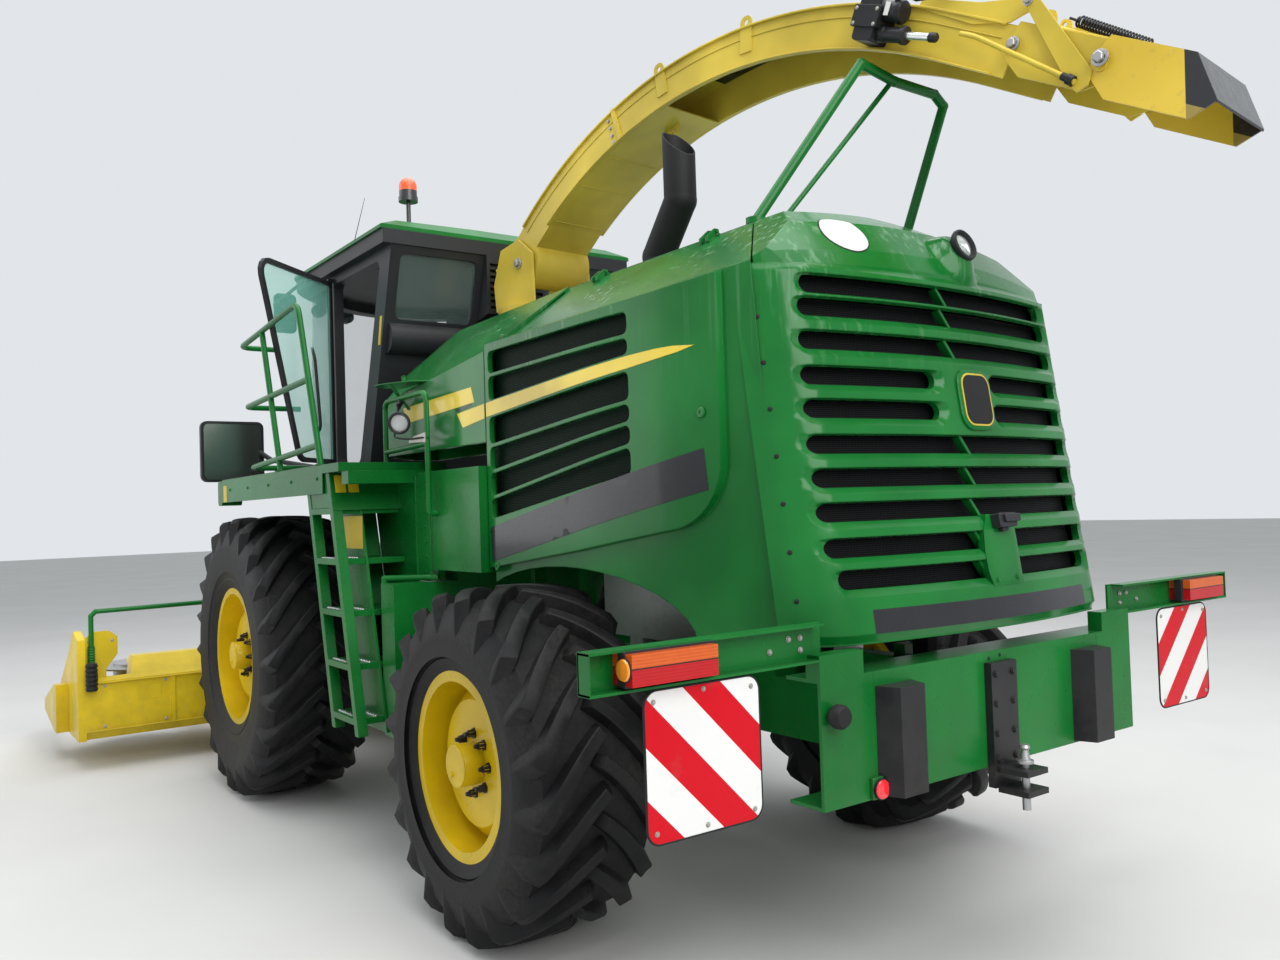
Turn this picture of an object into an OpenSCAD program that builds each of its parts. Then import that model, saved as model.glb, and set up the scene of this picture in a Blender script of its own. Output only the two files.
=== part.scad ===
// Self-propelled forage harvester with a rotary-drum crop header.
// Millimetres. X runs forward, Y to the machine's left, Z up, and the ground is Z = 0.
// Sizes along X are given from the front axle; placed() moves the origin under the middle.

/* [Layout] */
// Distance between the front and rear axles
wheelbase = 3000; // [2800:10:3300]
// Height of the cab floor and the platform above the ground
floor_z = 2000; // [1900:10:2100]
// Width over the crop header's end plates
header_w = 4500; // [4000:50:4800]
// Reach of the header's divider points ahead of the front axle
nose_x = 3300; // [3100:10:3500]

/* [Front wheels] */
// Radius over the lugs of a front tyre
front_tyre_r = 875; // [840:5:900]
// Width of a front tyre
front_tyre_w = 645; // [560:5:700]
// Radius of the front rim at its flange
front_rim_r = 432; // [400:1:450]
// Distance from the middle of the machine to the outer plane of a front rim
front_rim_y = 1470; // [1420:5:1500]

/* [Rear wheels] */
// Radius over the lugs of a rear tyre
rear_tyre_r = 710; // [680:5:730]
// Width of a rear tyre
rear_tyre_w = 590; // [520:5:620]
// Radius of the rear rim at its flange
rear_rim_r = 381; // [360:1:400]
// Distance from the middle of the machine to the outer plane of a rear rim
rear_rim_y = 1393; // [1360:5:1430]
// Distance from the middle of the machine to a kingpin
kingpin_y = 860; // [840:5:880]
// Radius of a kingpin
kingpin_r = 40; // [30:1:50]

/* [Tyre form] */
// Height of the lugs
lug_h = 45; // [30:1:55]
// Width of a lug, measured around the tyre
lug_w = 68; // [50:1:80]
// Number of lugs on each shoulder of a front tyre
front_lugs = 22; // [16:1:26]
// Number of lugs on each shoulder of a rear tyre
rear_lugs = 20; // [16:1:24]

/* [Frame] */
// Distance from the middle to the outside of a frame rail
rail_y = 360; // [300:5:380]
// Width of a frame rail
rail_w = 100; // [60:5:140]
// Height of the underside of the rails
rail_z = 800; // [760:5:840]
// Depth of the rails
rail_h = 250; // [180:5:300]
// Place of the rails' rear end
rail_rear_x = -4400; // [-4450:10:-4300]
// Place of the rails' front end
rail_front_x = 660; // [600:10:680]
// Height by which the rails rise over the front axle
rail_step = 240; // [200:5:280]

/* [Hood] */
// Place of the rear grille's foot on the middle line
grille_x = -4560; // [-4600:5:-4500]
// Place of the seam between rear grille piece and side panels, on top
seam_x = -3900; // [-3950:5:-3850]
// Place of that seam at the shoulder, where it has run down the corner
seam_side_x = -4275; // [-4300:5:-4200]
// Place where the sides begin to draw in towards the rear
side_bow_x = -3300; // [-3400:10:-3200]
// Radius on which they draw in
side_bow_r = 3900; // [3500:50:4500]
// Height by which the middle field stands out of a side panel
field_depth = 30; // [20:1:40]
// Place of the side panels' front edge
panel_front_x = -2580; // [-2650:5:-2500]
// Distance from the middle to the side panels' outer face
panel_y = 1000; // [960:5:1040]
// Distance from the middle to the hood's crest, where the side panels hinge
crest_y = 500; // [450:5:550]
// Height of the hood's crest
crest_z = 2820; // [2780:5:2860]
// Height of the shoulder where the side panels turn in
shoulder_z = 2500; // [2450:5:2530]
// Height of the lower edge of the side panels
skirt_z = 1250; // [1250:5:1350]
// Thickness of the hood's sheet
sheet = 25; // [12:1:30]
// Height of the wheel arch in the side panels
arch_z = 1490; // [1470:5:1550]
// Gap between panels that move
panel_gap = 8; // [6:1:12]

/* [Bumper] */
// Width of the rear bumper
bumper_w = 1800; // [1700:10:1900]
// Height of the bumper's lower edge
bumper_z = 760; // [740:5:800]
// Depth of the bumper from top to bottom
bumper_h = 408; // [360:4:440]
// Place of the bumper's rear face
bumper_x = -4550; // [-4580:5:-4520]
// Radius of the drawbar pin
hitch_pin_r = 15; // [12:0.5:20]
// Side of a warning panel
board = 423; // [400:1:450]

/* [Cab] */
// Distance from the middle to the cab's outer side
cab_y = 820; // [780:5:850]
// Place of the cab's front at the floor
cab_front_x = 720; // [650:5:800]
// Height of the underside of the cab roof
roof_z = 3330; // [3280:5:3380]
// Thickness of the cab's walls and pillars
wall = 60; // [45:5:80]
// Angle at which the door stands open
door_open = 49; // [40:1:60]

/* [Spout] */
// Place of the turret that carries the spout
turret_x = -1450; // [-1480:5:-1420]
// Angle at which the parked spout is turned from straight back
park_yaw = 6; // [0:0.5:10]
// Radius of the spout's outer wall
spout_r = 2550; // [2500:10:2600]
// Distance from the turret to the spout's highest place
spout_top_s = 1660; // [1600:10:1700]
// Height of the spout's highest place
spout_top_z = 3945; // [3900:5:3990]
// Width of the spout
spout_w = 380; // [340:5:420]
// Thickness of the spout's sheet
spout_t = 8; // [5:1:12]
// Depth of the spout's channel
spout_h = 185; // [160:5:200]
// Length of the first deflector between its pins
inner_len = 362; // [340:2:400]
// Length of the last deflector from its pin to the tip
end_len = 428; // [380:2:460]

/* [Header] */
// Height of the axis on which the feeder house lifts
lift_z = 1150; // [1100:5:1200]
// Place of that axis
lift_x = 780; // [740:5:820]
// Place of the header's back wall
header_back_x = 1400; // [1380:5:1450]
// Radius of a crop drum
drum_r = 480; // [440:5:500]
// Height of the header's underside
header_z = 210; // [180:5:240]

/* [Hidden] */

green = "#12682f";
yellow = "#f0c411";
black = "#1c1d1f";
steel = "#8d9094";
rubber = "#232427";
glass = "#9fb7b3";
red = "#c4181f";
amber = "#e08a1c";
white = "#f2f2f0";

running = 0.1;
clear = 0.3;
// Spout in its own frame, X from the turret to the tip: middle of the arc, its ends as angles from
// straight up, then a straight run to the two deflectors' pins
spout_mid = [spout_top_s, spout_top_z - spout_r];
arc_start = -40;
arc_end = 30;
function straight_run(r, from, to) = [for (x = [from, to])
  spout_mid + [r * sin(arc_end) + x * cos(arc_end), r * cos(arc_end) - x * sin(arc_end)]];
inner_pin_x = 340;
inner_pin_h = 75;
inner_pin = straight_run(spout_r - inner_pin_h, inner_pin_x, inner_pin_x)[0];
end_pin = inner_pin + inner_len * [cos(arc_end), -sin(arc_end)];

// Reach of the spout's tip behind the turret, and the width of its last deflector
spout_reach = end_pin.x + end_len * cos(arc_end) - 20 * sin(arc_end);
end_w = spout_w + 54;
tail_x = turret_x - spout_reach * cos(park_yaw) - end_w / 2 * sin(park_yaw);
origin_x = (nose_x + tail_x) / 2;

module placed() translate([-origin_x, 0, 0]) children();

module both_sides() {
  children();
  mirror([0, 1, 0]) children();
}

// A block between two opposite corners
module block(low, high) translate(low) cube(high - low);

// A plate whose outline lies in X and Z, between two places along Y
module side_plate(y0, y1) translate([0, y1, 0]) rotate([90, 0, 0]) linear_extrude(y1 - y0) children();

// A plate whose outline lies in Y and Z, between two places along X
module cross_plate(x0, x1) translate([x0, 0, 0]) rotate([90, 0, 90]) linear_extrude(x1 - x0) children();

// The arc of radius r that rounds the corner b between a and c, in n steps
function corner(a, b, c, r, n = 4) = let (
  u = unit2(a - b), w = unit2(c - b), half = acos(u * w) / 2, mid = b + unit2(u + w) * r / sin(half),
  from = b + u * r / tan(half) - mid, turn = (u.x * w.y > u.y * w.x ? -1 : 1) * (180 - 2 * half) / n)
  [for (k = [0 : n]) mid + [from.x * cos(k * turn) - from.y * sin(k * turn),
    from.x * sin(k * turn) + from.y * cos(k * turn)]];
function unit2(v) = v / norm(v);
// An outline with all its corners rounded
function rounded(v, r, n = 4) = let (last = len(v) - 1)
  [for (i = [0 : last]) each corner(v[i > 0 ? i - 1 : last], v[i], v[i < last ? i + 1 : 0], r, n)];

// A round bar between two points
module bar(a, b, r) {
  d = b - a;
  len = norm(d);
  translate(a) rotate([0, acos(d.z / len), atan2(d.y, d.x)]) cylinder(r = r, h = len, $fn = 24);
}

// A round rail through a list of points, with a ball at each bend
module rail(points, r) {
  for (i = [1 : len(points) - 1]) bar(points[i - 1], points[i], r);
  for (i = [1 : len(points) - 2]) translate(points[i]) sphere(r = 1.06 * r, $fn = 24);
}

// Lid hinges: pin along X at the origin, fixed leaf towards -Y and moving leaves towards +Y
lid_pin_r = 8;
module hinge_fixed(drop) {
  cross_plate(-10, 10) polygon([[-50, -drop - 10], [-6, -drop - 10], [8, -6], [8, 8], [-8, 9],
    [-50, 5 - drop]]);
  translate([-30, 0, 0]) rotate([0, 90, 0]) cylinder(r = lid_pin_r, h = 60, $fn = 32);
}
module hinge_moving() for (side = [-1, 1]) cross_plate(19 * side - 5, 19 * side + 5) difference() {
  polygon([[-11, -6], [-10, 11], [10, 11], [55, -28], [55, -48], [10, -42], [4, -11]]);
  circle(r = lid_pin_r + running, $fn = 32);
}

// Wheels

// Turns a shape drawn about Z to lie about Y, its top towards the machine's left
module on_axle(x, y, z) translate([x, y, z]) rotate([-90, 0, 0]) children();

// A tyre without its lugs, as a turned section: radii and half widths from bead to tread
module carcass(r, w, rim_r) {
  bead = rim_r - 30;
  belly = rim_r + 0.42 * (r - rim_r);
  half = [
    [bead, 0.40], [rim_r + 15, 0.43], [belly, 0.50], [r - 110, 0.485], [r - lug_h - 22, 0.44],
      [r - lug_h - 5, 0.36],
    [r - lug_h, 0.15]
  ];
  rotate_extrude($fn = 72) polygon(concat(
    [for (p = half) [p[0], -p[1] * w]], [for (k = [len(half) - 1 : -1 : 0]) [half[k][0], half[k][1] * w]]
  ));
}

// A lug unrolled from the tread: distance from the middle, distance around the tyre
function lug_outline(w) = [
  [-10, 0], [-10, 0.7 * lug_w], [0.04 * w, lug_w], [0.22 * w, lug_w - 0.19 * w],
    [0.50 * w, lug_w - 0.33 * w],
  [0.50 * w, -0.33 * w], [0.22 * w, -0.19 * w]
];

module tread(r, w, lugs) {
  half = [[r - 116, 0.488], [r - lug_h, 0.455], [r - 5, 0.40], [r, 0.30]];
  intersection() {
    rotate_extrude($fn = 72) polygon(concat(
      [for (p = half) [p[0], -p[1] * w]], [for (k = [3 : -1 : 0]) [half[k][0], half[k][1] * w]]
    ));
    for (side = [0, 1]) mirror([0, 0, side]) for (k = [0 : lugs - 1]) rotate((k + side / 2) * 360 / lugs)
      translate([r - 125, 0, 0]) rotate([0, 90, 0]) linear_extrude(140) polygon(lug_outline(w));
  }
}

// A rim: barrel with flanges, dished disc and hub, its outer plane at height 0
module rim(r, w, spindle_r) {
  barrel = r - 32;
  flange = 22;
  disc_t = 22;
  wall_t = 12;
  inner = barrel - wall_t;
  difference() {
    union() {
      rotate_extrude($fn = 72) polygon([
        [r, 0], [r, -flange], [barrel, -flange - 30], [barrel, -w + flange + 30], [r, -w + flange],
        [r, -w], [inner, -w], [inner, -190], [250, -100], [100, -100], [100, -78], [255, -78],
        [inner, -160], [inner, 0]
      ]);
      translate([0, 0, -320]) cylinder(r = 150, h = 240, $fn = 48);
      translate([0, 0, -90]) cylinder(r = 85, h = 100, $fn = 48);
    }
    translate([0, 0, -321]) cylinder(r = spindle_r + running, h = 270, $fn = 48);
  }
  for (a = [0 : 45 : 315]) rotate(a) translate([120, 0, -79]) cylinder(r = 16, h = 26, $fn = 6);
}

front_spindle_r = 70;
rear_spindle_r = 55;
rim_seat = 0.80;

module front_rim(side) on_axle(0, side * front_rim_y, front_tyre_r)
  mirror([0, 0, side > 0 ? 0 : 1]) rim(front_rim_r, front_tyre_w * rim_seat + 40, front_spindle_r);
module rear_rim(side) on_axle(-wheelbase, side * rear_rim_y, rear_tyre_r)
  mirror([0, 0, side > 0 ? 0 : 1]) rim(rear_rim_r, rear_tyre_w * rim_seat + 40, rear_spindle_r);

front_tyre_y = front_rim_y - (front_tyre_w * rim_seat + 40) / 2;
rear_tyre_y = rear_rim_y - (rear_tyre_w * rim_seat + 40) / 2;

// A tyre on its rim: the seat takes out what the rim fills
module mounted_tyre(r, w, rim_r, lugs) {
  seat_r = rim_r + 2 * clear;
  difference() {
    carcass(r, w, rim_r);
    rotate_extrude($fn = 72) polygon([
      [0, -w], [seat_r, -w], [seat_r, -w * rim_seat / 2 + 2], [seat_r - 32, -w * rim_seat / 2 + 32],
      [seat_r - 32, w * rim_seat / 2 - 32], [seat_r, w * rim_seat / 2 - 2], [seat_r, w], [0, w]
    ]);
  }
  tread(r, w, lugs);
}

module front_rim_left() color(yellow) placed() front_rim(1);
module front_rim_right() color(yellow) placed() front_rim(-1);
module rear_rim_left() color(yellow) placed() rear_rim(1);
module rear_rim_right() color(yellow) placed() rear_rim(-1);

module front_tyre(side) on_axle(0, side * front_tyre_y, front_tyre_r)
  mounted_tyre(front_tyre_r, front_tyre_w, front_rim_r, front_lugs);
module rear_tyre(side) on_axle(-wheelbase, side * rear_tyre_y, rear_tyre_r)
  mounted_tyre(rear_tyre_r, rear_tyre_w, rear_rim_r, rear_lugs);

module front_tyre_left() color(rubber) placed() front_tyre(1);
module front_tyre_right() color(rubber) placed() front_tyre(-1);
module rear_tyre_left() color(rubber) placed() rear_tyre(1);
module rear_tyre_right() color(rubber) placed() rear_tyre(-1);

// Axles and knuckles

module front_axle() color(black) placed() {
  on_axle(0, -560, front_tyre_r) cylinder(r = 150, h = 1120, $fn = 48);
  both_sides() {
    on_axle(0, 540, front_tyre_r) cylinder(r = 240, h = 300, $fn = 48);
    on_axle(0, 839, front_tyre_r) cylinder(r1 = 200, r2 = 130, h = 300, $fn = 48);
    on_axle(0, 1138, front_tyre_r) cylinder(r = front_spindle_r, h = front_rim_y - 60 - 1138, $fn = 48);
    block([-130, rail_y - rail_w, front_tyre_r + 100], [130, rail_y, rail_z + rail_step]);
    // Bracket and pin of a lift cylinder
    side_plate(cylinder_y - 55, cylinder_y - 30) polygon([
      [-60, front_tyre_r - 100], [110, front_tyre_r - 60], [barrel_eye.x + 38, barrel_eye.y + 30],
      [barrel_eye.x + 38, barrel_eye.y - 38], [barrel_eye.x - 38, barrel_eye.y - 38]
    ]);
    on_axle(barrel_eye.x, cylinder_y - 31, barrel_eye.y) cylinder(r = cylinder_pin_r, h = 70, $fn = 48);
  }
}

knuckle_h = 260;
yoke_t = 32;

// Half of the rear axle's beam as seen from behind, from its middle to the yoke
beam_half = [
  [0, -80], [420, -80], [690, -knuckle_h / 2 - yoke_t], [765, -knuckle_h / 2 - yoke_t],
  [765, knuckle_h / 2 + yoke_t], [690, knuckle_h / 2 + yoke_t], [420, 80], [0, 80]
];
axle_pin_z = 170;
axle_pin_r = 45;
hanger_x = [120, 150];

module rear_axle() color(black) placed() translate([-wheelbase, 0, rear_tyre_r]) {
  difference() {
    union() {
      both_sides() {
        cross_plate(-80, 80) polygon(beam_half);
        for (z = [-knuckle_h / 2 - yoke_t, knuckle_h / 2]) translate([0, 0, z]) {
          block([-75, 750, 0], [75, kingpin_y, yoke_t]);
          translate([0, kingpin_y, 0]) cylinder(r = 75, h = yoke_t, $fn = 48);
        }
      }
      cross_plate(-100, 100) polygon([[-90, 70], [90, 70], [60, axle_pin_z], [-60, axle_pin_z]]);
      translate([-100, 0, axle_pin_z]) rotate([0, 90, 0]) cylinder(r = 70, h = 200, $fn = 48);
    }
    both_sides() translate([0, kingpin_y, -300]) cylinder(r = kingpin_r + running, h = 600, $fn = 48);
  }
  translate([-hanger_x[1] - 10, 0, axle_pin_z]) rotate([0, 90, 0])
    cylinder(r = axle_pin_r, h = 2 * hanger_x[1] + 20, $fn = 48);
}

module knuckle() translate([-wheelbase, 0, rear_tyre_r]) {
  translate([0, kingpin_y, -knuckle_h / 2 - yoke_t - 12])
    cylinder(r = kingpin_r, h = knuckle_h + 2 * yoke_t + 24, $fn = 48);
  translate([0, kingpin_y, -knuckle_h / 2 + 1]) cylinder(r = 70, h = knuckle_h - 2, $fn = 48);
  on_axle(0, kingpin_y, 0) cylinder(r = 90, h = rear_rim_y - 335 - kingpin_y, $fn = 48);
  on_axle(0, kingpin_y, 0) cylinder(r = rear_spindle_r, h = rear_rim_y - 60 - kingpin_y, $fn = 48);
  // Steering arm with its pin
  block([60, kingpin_y - 25, arm_z - 30], [arm_x + 30, kingpin_y + 25, arm_z]);
  translate([arm_x, kingpin_y, arm_z - 1]) cylinder(r = arm_pin_r, h = 45, $fn = 32);
}

arm_x = 205;
arm_z = -80;
arm_pin_r = 14;

// Rod between the two steering arms, its eyes on their pins
module tie_rod() color(black) placed() translate([arm_x - wheelbase, 0, rear_tyre_r + arm_z + 4])
  difference() {
  union() {
    both_sides() translate([0, kingpin_y, 0]) cylinder(r = 32, h = 32, $fn = 48);
    translate([0, -kingpin_y, 16]) rotate([-90, 0, 0]) cylinder(r = 14, h = 2 * kingpin_y, $fn = 32);
  }
  both_sides() translate([0, kingpin_y, -10]) cylinder(r = arm_pin_r + running, h = 60, $fn = 32);
}

module knuckle_left() color(black) placed() knuckle();
module knuckle_right() color(black) placed() mirror([0, 1, 0]) knuckle();

// Frame and what it carries

// A frame rail as seen from the side, raised over the front axle
rail_outline = [
  [rail_rear_x, rail_z], [-430, rail_z], [-250, rail_z + rail_step], [rail_front_x, rail_z + rail_step],
  [rail_front_x, rail_z + rail_step + 210], [-350, rail_z + rail_step + 210], [-500, rail_z + rail_h],
  [rail_rear_x, rail_z + rail_h]
];

module chassis_frame() color(black) placed() {
  both_sides() side_plate(rail_y - rail_w, rail_y) polygon(rail_outline);
  for (x = [rail_rear_x, -3620, -2500, -1440])
    block([x, -rail_y + 20, rail_z + 30], [x + 120, rail_y - 20, rail_z + rail_h - 30]);
  // Hangers for the rear axle's pivot pin
  for (side = [-1, 1]) translate([-wheelbase + side * (hanger_x[0] + hanger_x[1]) / 2, 0, 0]) difference() {
    block([-15, -rail_y + rail_w - 1, rail_z], [15, rail_y - rail_w + 1, rail_z + rail_h]);
    translate([-20, 0, rear_tyre_r + axle_pin_z]) rotate([0, 90, 0])
      cylinder(r = axle_pin_r + clear, h = 40, $fn = 48);
  }
  // Lugs that carry the feeder house
  both_sides() side_plate(rail_y - 22, rail_y) difference() {
    polygon([
      [rail_front_x - 100, rail_z + rail_step], [rail_front_x - 100, rail_z + rail_step + 210],
        [lift_x - 60, rail_z + rail_step + 210],
      [lift_x + 60, lift_z + 50], [lift_x + 60, lift_z - 50], [lift_x - 40, rail_z + rail_step]
    ]);
    translate([lift_x, lift_z]) circle(r = lift_pin_r + running, $fn = 48);
  }
}

lift_pin_r = 35;
engine_low = [-3740, -400, 1120];
engine_high = [-2620, 400, 2150];

module engine_block() color(steel) placed() {
  block(engine_low, engine_high);
  for (x = [engine_low.x + 150, engine_high.x - 250])
    block([x, -rail_y, rail_z + rail_h + clear], [x + 100, rail_y, engine_low.z]);
}

module radiator() color(black) placed() {
  difference() {
    block([seam_x - 150, -720, skirt_z + 60], [seam_x - 10, 720, 2560]);
    block([seam_x - 151, -660, skirt_z + 110], [seam_x - 120, 660, 2510]);
  }
  both_sides() block([seam_x - 120, rail_y - 80, rail_z + rail_h],
    [seam_x - 40, rail_y - 20, skirt_z + 61]);
}

module chopper_housing() color(green) placed() {
  side_plate(-rail_y + rail_w + clear, rail_y - rail_w - clear) polygon([
    [-1300, 1150], [-1160, 640], [-300, 600], [-260, rail_z + rail_step + 5], [640, rail_z + rail_step + 5],
    [640, 1330], [200, 1400], [-400, 1500], [-1130, 1500], [-1180, 2150], [-1250, 2300],
    [-1650, 2300], [-1690, 1900], [-1700, 1400], [-1560, 1150]
  ]);
}

// Hood

// The hood's outer form is the meeting of a plan, a section and, at the rear, four leaning faces.
// Inner forms are the same, drawn in by the sheet's thickness.

// Corner between the shoulder's flat slope and the steep one that rises to the crest
haunch = [842, 2560];
far = 1300;

// Plan of the hood: straight sides that draw in towards the rear, moved in by a distance
module hood_plan(inset) {
  front = panel_front_x + 100;
  translate([side_bow_x, inset - panel_y]) square([front - side_bow_x, 2 * (panel_y - inset)]);
  intersection() {
    translate([side_bow_x, panel_y - side_bow_r]) circle(r = side_bow_r - inset, $fn = 180);
    translate([side_bow_x, side_bow_r - panel_y]) circle(r = side_bow_r - inset, $fn = 180);
    translate([side_bow_x - 2000, -far]) square([2000, 2 * far]);
  }
}

// Section of the hood above its sides, from behind: shoulder, haunch, crest and ridge
function hood_section(low, skin) = let (
  half = [[far, low], [far, shoulder_z - (far - panel_y) * (haunch.y - shoulder_z) / (panel_y - haunch.x)],
    haunch, [crest_y, crest_z], [0, crest_z + 50]],
  drop = [0, 1.07, 1.15, 1.12, 1])
  concat([for (k = [0 : 4]) half[k] - [0, drop[k] * skin]],
         [for (k = [3 : -1 : 0]) [-half[k].x, half[k].y - drop[k] * skin]]);

// Hood drawn in at the sides by one distance and all over by the skin
module hood_body(side, skin) intersection() {
  translate([0, 0, 1000]) linear_extrude(2000) hood_plan(side + skin);
  cross_plate(grille_x - 100, panel_front_x + 90) polygon(hood_section(1000, skin));
}

// Plan of a rear face about the place where it crosses the middle line: bowed, with rounded corners
bow = 100;
rear_half_w = 850;
bow_r = (rear_half_w * rear_half_w + bow * bow) / (2 * bow);
rear_corner = [[-10, 625], [125, 800], [185, 850], [260, 890], [3000, far]];
module rear_bow(inset) translate([bow_r, 0]) circle(r = bow_r - inset, $fn = 180);
module rear_corners(inset) polygon(concat(
  [for (p = rear_corner) p + [0.4 * inset, -inset]],
  [for (k = [4 : -1 : 0]) [rear_corner[k].x + 0.4 * inset, inset - rear_corner[k].y]]
));

// Rear faces: place on the middle line ahead of the grille's foot, height there, lean from upright
rear_faces = [[0, 1290, 8.3], [150, 2500, 28], [225, 2640, 39], [330, 2770, 63]];

module rear_body(skin) intersection() {
  hood_body(field_depth, skin);
  leaning(rear_faces[0]) rear_corners(skin);
  leaning(rear_faces[0]) rear_bow(skin);
  leaning(rear_faces[1]) rear_bow(skin);
  leaning(rear_faces[2]) rear_bow(skin);
  leaning(rear_faces[3]) rear_bow(skin);
}

module leaning(face) translate([grille_x + face[0], 0, face[1]]) rotate([0, face[2], 0])
  translate([0, 0, -2000]) linear_extrude(4000) children();

// All that lies behind the seam: straight across the top, then forward of the rear corners down the sides
seam_lean = 5;
module behind_seam(gap) translate([seam_side_x + gap, 0, shoulder_z]) rotate([0, seam_lean, 0]) {
  top = seam_x - seam_side_x - 30;
  translate([0, 0, -1400]) linear_extrude(2000) polygon([
    [-1000, -far], [0, -far], [0, -870], [top, -crest_y - 10], [top, crest_y + 10], [0, 870], [0, far],
      [-1000, far]
  ]);
}

// Grille slots: height of the middle and half width
slots = [
  [2477, 739], [2394, 759], [2276, 773], [2152, 782], [2037, 787],
  [1915, 792], [1800, 791], [1685, 793], [1566, 786], [1461, 753]
];
slot_h = 62;

// Hinge lines of the rear lid and the side lids
rear_hinge = [seam_x + 3, crest_z + 57];
rear_hinge_y = [-180, 180];
side_hinge = [crest_y + 4, crest_z + 14];
side_hinge_x = [seam_x + 250, seam_x + 1050];

module at_rear_hinges() for (y = rear_hinge_y) translate([rear_hinge.x, y, rear_hinge.y]) rotate(90)
  children();

module rear_hood() color(green) placed() {
  rear_lid();
  at_rear_hinges() hinge_moving();
}

module rear_lid() difference() {
  intersection() {
    rear_body(0);
    behind_seam(-panel_gap / 2);
  }
  rear_body(sheet);
  block([grille_x - 100, -far, 900], [seam_x + 100, far, skirt_z]);
  for (s = slots) cross_plate(grille_x - 50, seam_x - 300) translate([0, s[0]]) {
    square([2 * (s[1] - 40) - slot_h, slot_h], center = true);
    for (side = [-1, 1]) translate([side * (s[1] - 40 - slot_h / 2), 0]) circle(d = slot_h, $fn = 32);
  }
}

// Field that stands out of a side panel, as seen from the side, and the radius of its lower rear corner
field_corner = 250;
field = [[panel_front_x + 80, 1462], [-3350, 1563], [-4127, 1672], [-4127, 3000],
  [panel_front_x + 80, 3000]];
field_outline = concat([field[0], field[1]], corner(field[1], field[2], field[3], field_corner, 8),
  [field[3], field[4]]);

// Air slots of the side panels: heights at the front end, heights at the rear end
side_slots = [
  [2360, 2462, 2380, 2465], [2236, 2345, 2303, 2365], [2036, 2158, 2132, 2240],
  [1916, 2020, 2052, 2117], [1797, 1900, 1967, 2038], [1695, 1782, 1852, 1953]
];
slot_ends = [panel_front_x - 32, -3690];
slot_corner = 26;

module side_body(skin) {
  hood_body(field_depth, skin);
  intersection() {
    hood_body(0, skin);
    side_plate(300, far) polygon(inset_outline(field_outline, skin));
  }
}

// Hinged side panel: outer skin of the hood between seam and front edge
module side_panel() difference() {
  side_body(0);
  side_body(sheet);
  behind_seam(panel_gap / 2);
  block([grille_x - 200, -far, 900], [panel_front_x + 100, crest_y + panel_gap, 3000]);
  block([panel_front_x, 0, 900], [panel_front_x + 200, far, 3000]);
  block([grille_x - 200, 0, 900], [panel_front_x + 1, far, skirt_z]);
  side_plate(500, far) polygon(arch_outline);
  for (s = side_slots) side_plate(panel_y - 200, far) polygon(rounded([
    [slot_ends[0], s[0]], [slot_ends[0], s[1]], [slot_ends[1], s[3]], [slot_ends[1], s[2]]
  ], slot_corner));
}

// Half ellipse of the wheel arch, widened for the steered wheel
arch_a = 800;
arch_mid = -wheelbase - 170;
arch_outline = concat(
  [for (a = [0 : 10 : 180]) [arch_mid + arch_a * cos(a), skirt_z - 20 + (arch_z - skirt_z + 20) * sin(a)]],
  [[arch_mid - arch_a, skirt_z - 100], [arch_mid + arch_a, skirt_z - 100]]
);

module at_side_hinges() for (x = side_hinge_x) translate([x, side_hinge.x, side_hinge.y]) children();

module hinged_panel() {
  side_panel();
  at_side_hinges() hinge_moving();
}

module side_panel_left() color(green) placed() hinged_panel();
module side_panel_right() color(green) placed() mirror([0, 1, 0]) hinged_panel();

exhaust = [-3000, 290];
post_y = 410;

// Front cowl beside the spout's foot: place, outer side, shoulder and crest height of its sections
cowl_sections = [
  [panel_front_x + panel_gap, panel_y, 2470, crest_z], [-1360, panel_y, 2343, crest_z - 25],
    [-1060, 720, 2560, 2690]
];
module cowl(skin) hull() for (s = cowl_sections) cross_plate(s[0] - skin - 1, s[0] - skin) polygon([
  [crest_y + 20 + skin, floor_z + 50 - skin], [crest_y + 20 + skin, s[3] - 1.1 * skin],
  [s[1] - skin, s[2] - 0.9 * skin], [s[1] - skin, floor_z + 50 - skin]
]);

module hood_deck() color(green) placed() {
  difference() {
    cross_plate(seam_x + panel_gap / 2, panel_front_x + 180) polygon([
      [-crest_y, crest_z - sheet], [-crest_y, crest_z], [0, crest_z + 50], [crest_y, crest_z],
      [crest_y, crest_z - sheet], [0, crest_z + 50 - sheet]
    ]);
    translate([exhaust.x, exhaust.y, 2000]) cylinder(r = 100, h = 1500, $fn = 48);
  }
  at_rear_hinges() hinge_fixed(37);
  both_sides() at_side_hinges() hinge_fixed(14);
  // Posts and rails that carry the deck and the panels
  both_sides() for (x = [seam_x + 20, panel_front_x + 30]) {
    block([x, post_y, rail_z + rail_h], [x + 60, post_y + 50, crest_z - 59]);
    block([x, rail_y - 60, rail_z + rail_h], [x + 60, post_y + 1, rail_z + rail_h + 50]);
  }
  both_sides() block([seam_x + 20, post_y, crest_z - 60], [panel_front_x + 150, post_y + 50, crest_z - 10]);
  both_sides() {
    difference() {
      cowl(0);
      cowl(sheet);
    }
    for (z = [floor_z + 60, crest_z - 150])
      block([panel_front_x + 30, post_y + 49, z], [panel_front_x + 90, crest_y + 20 + sheet, z + 60]);
  }
}

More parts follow.
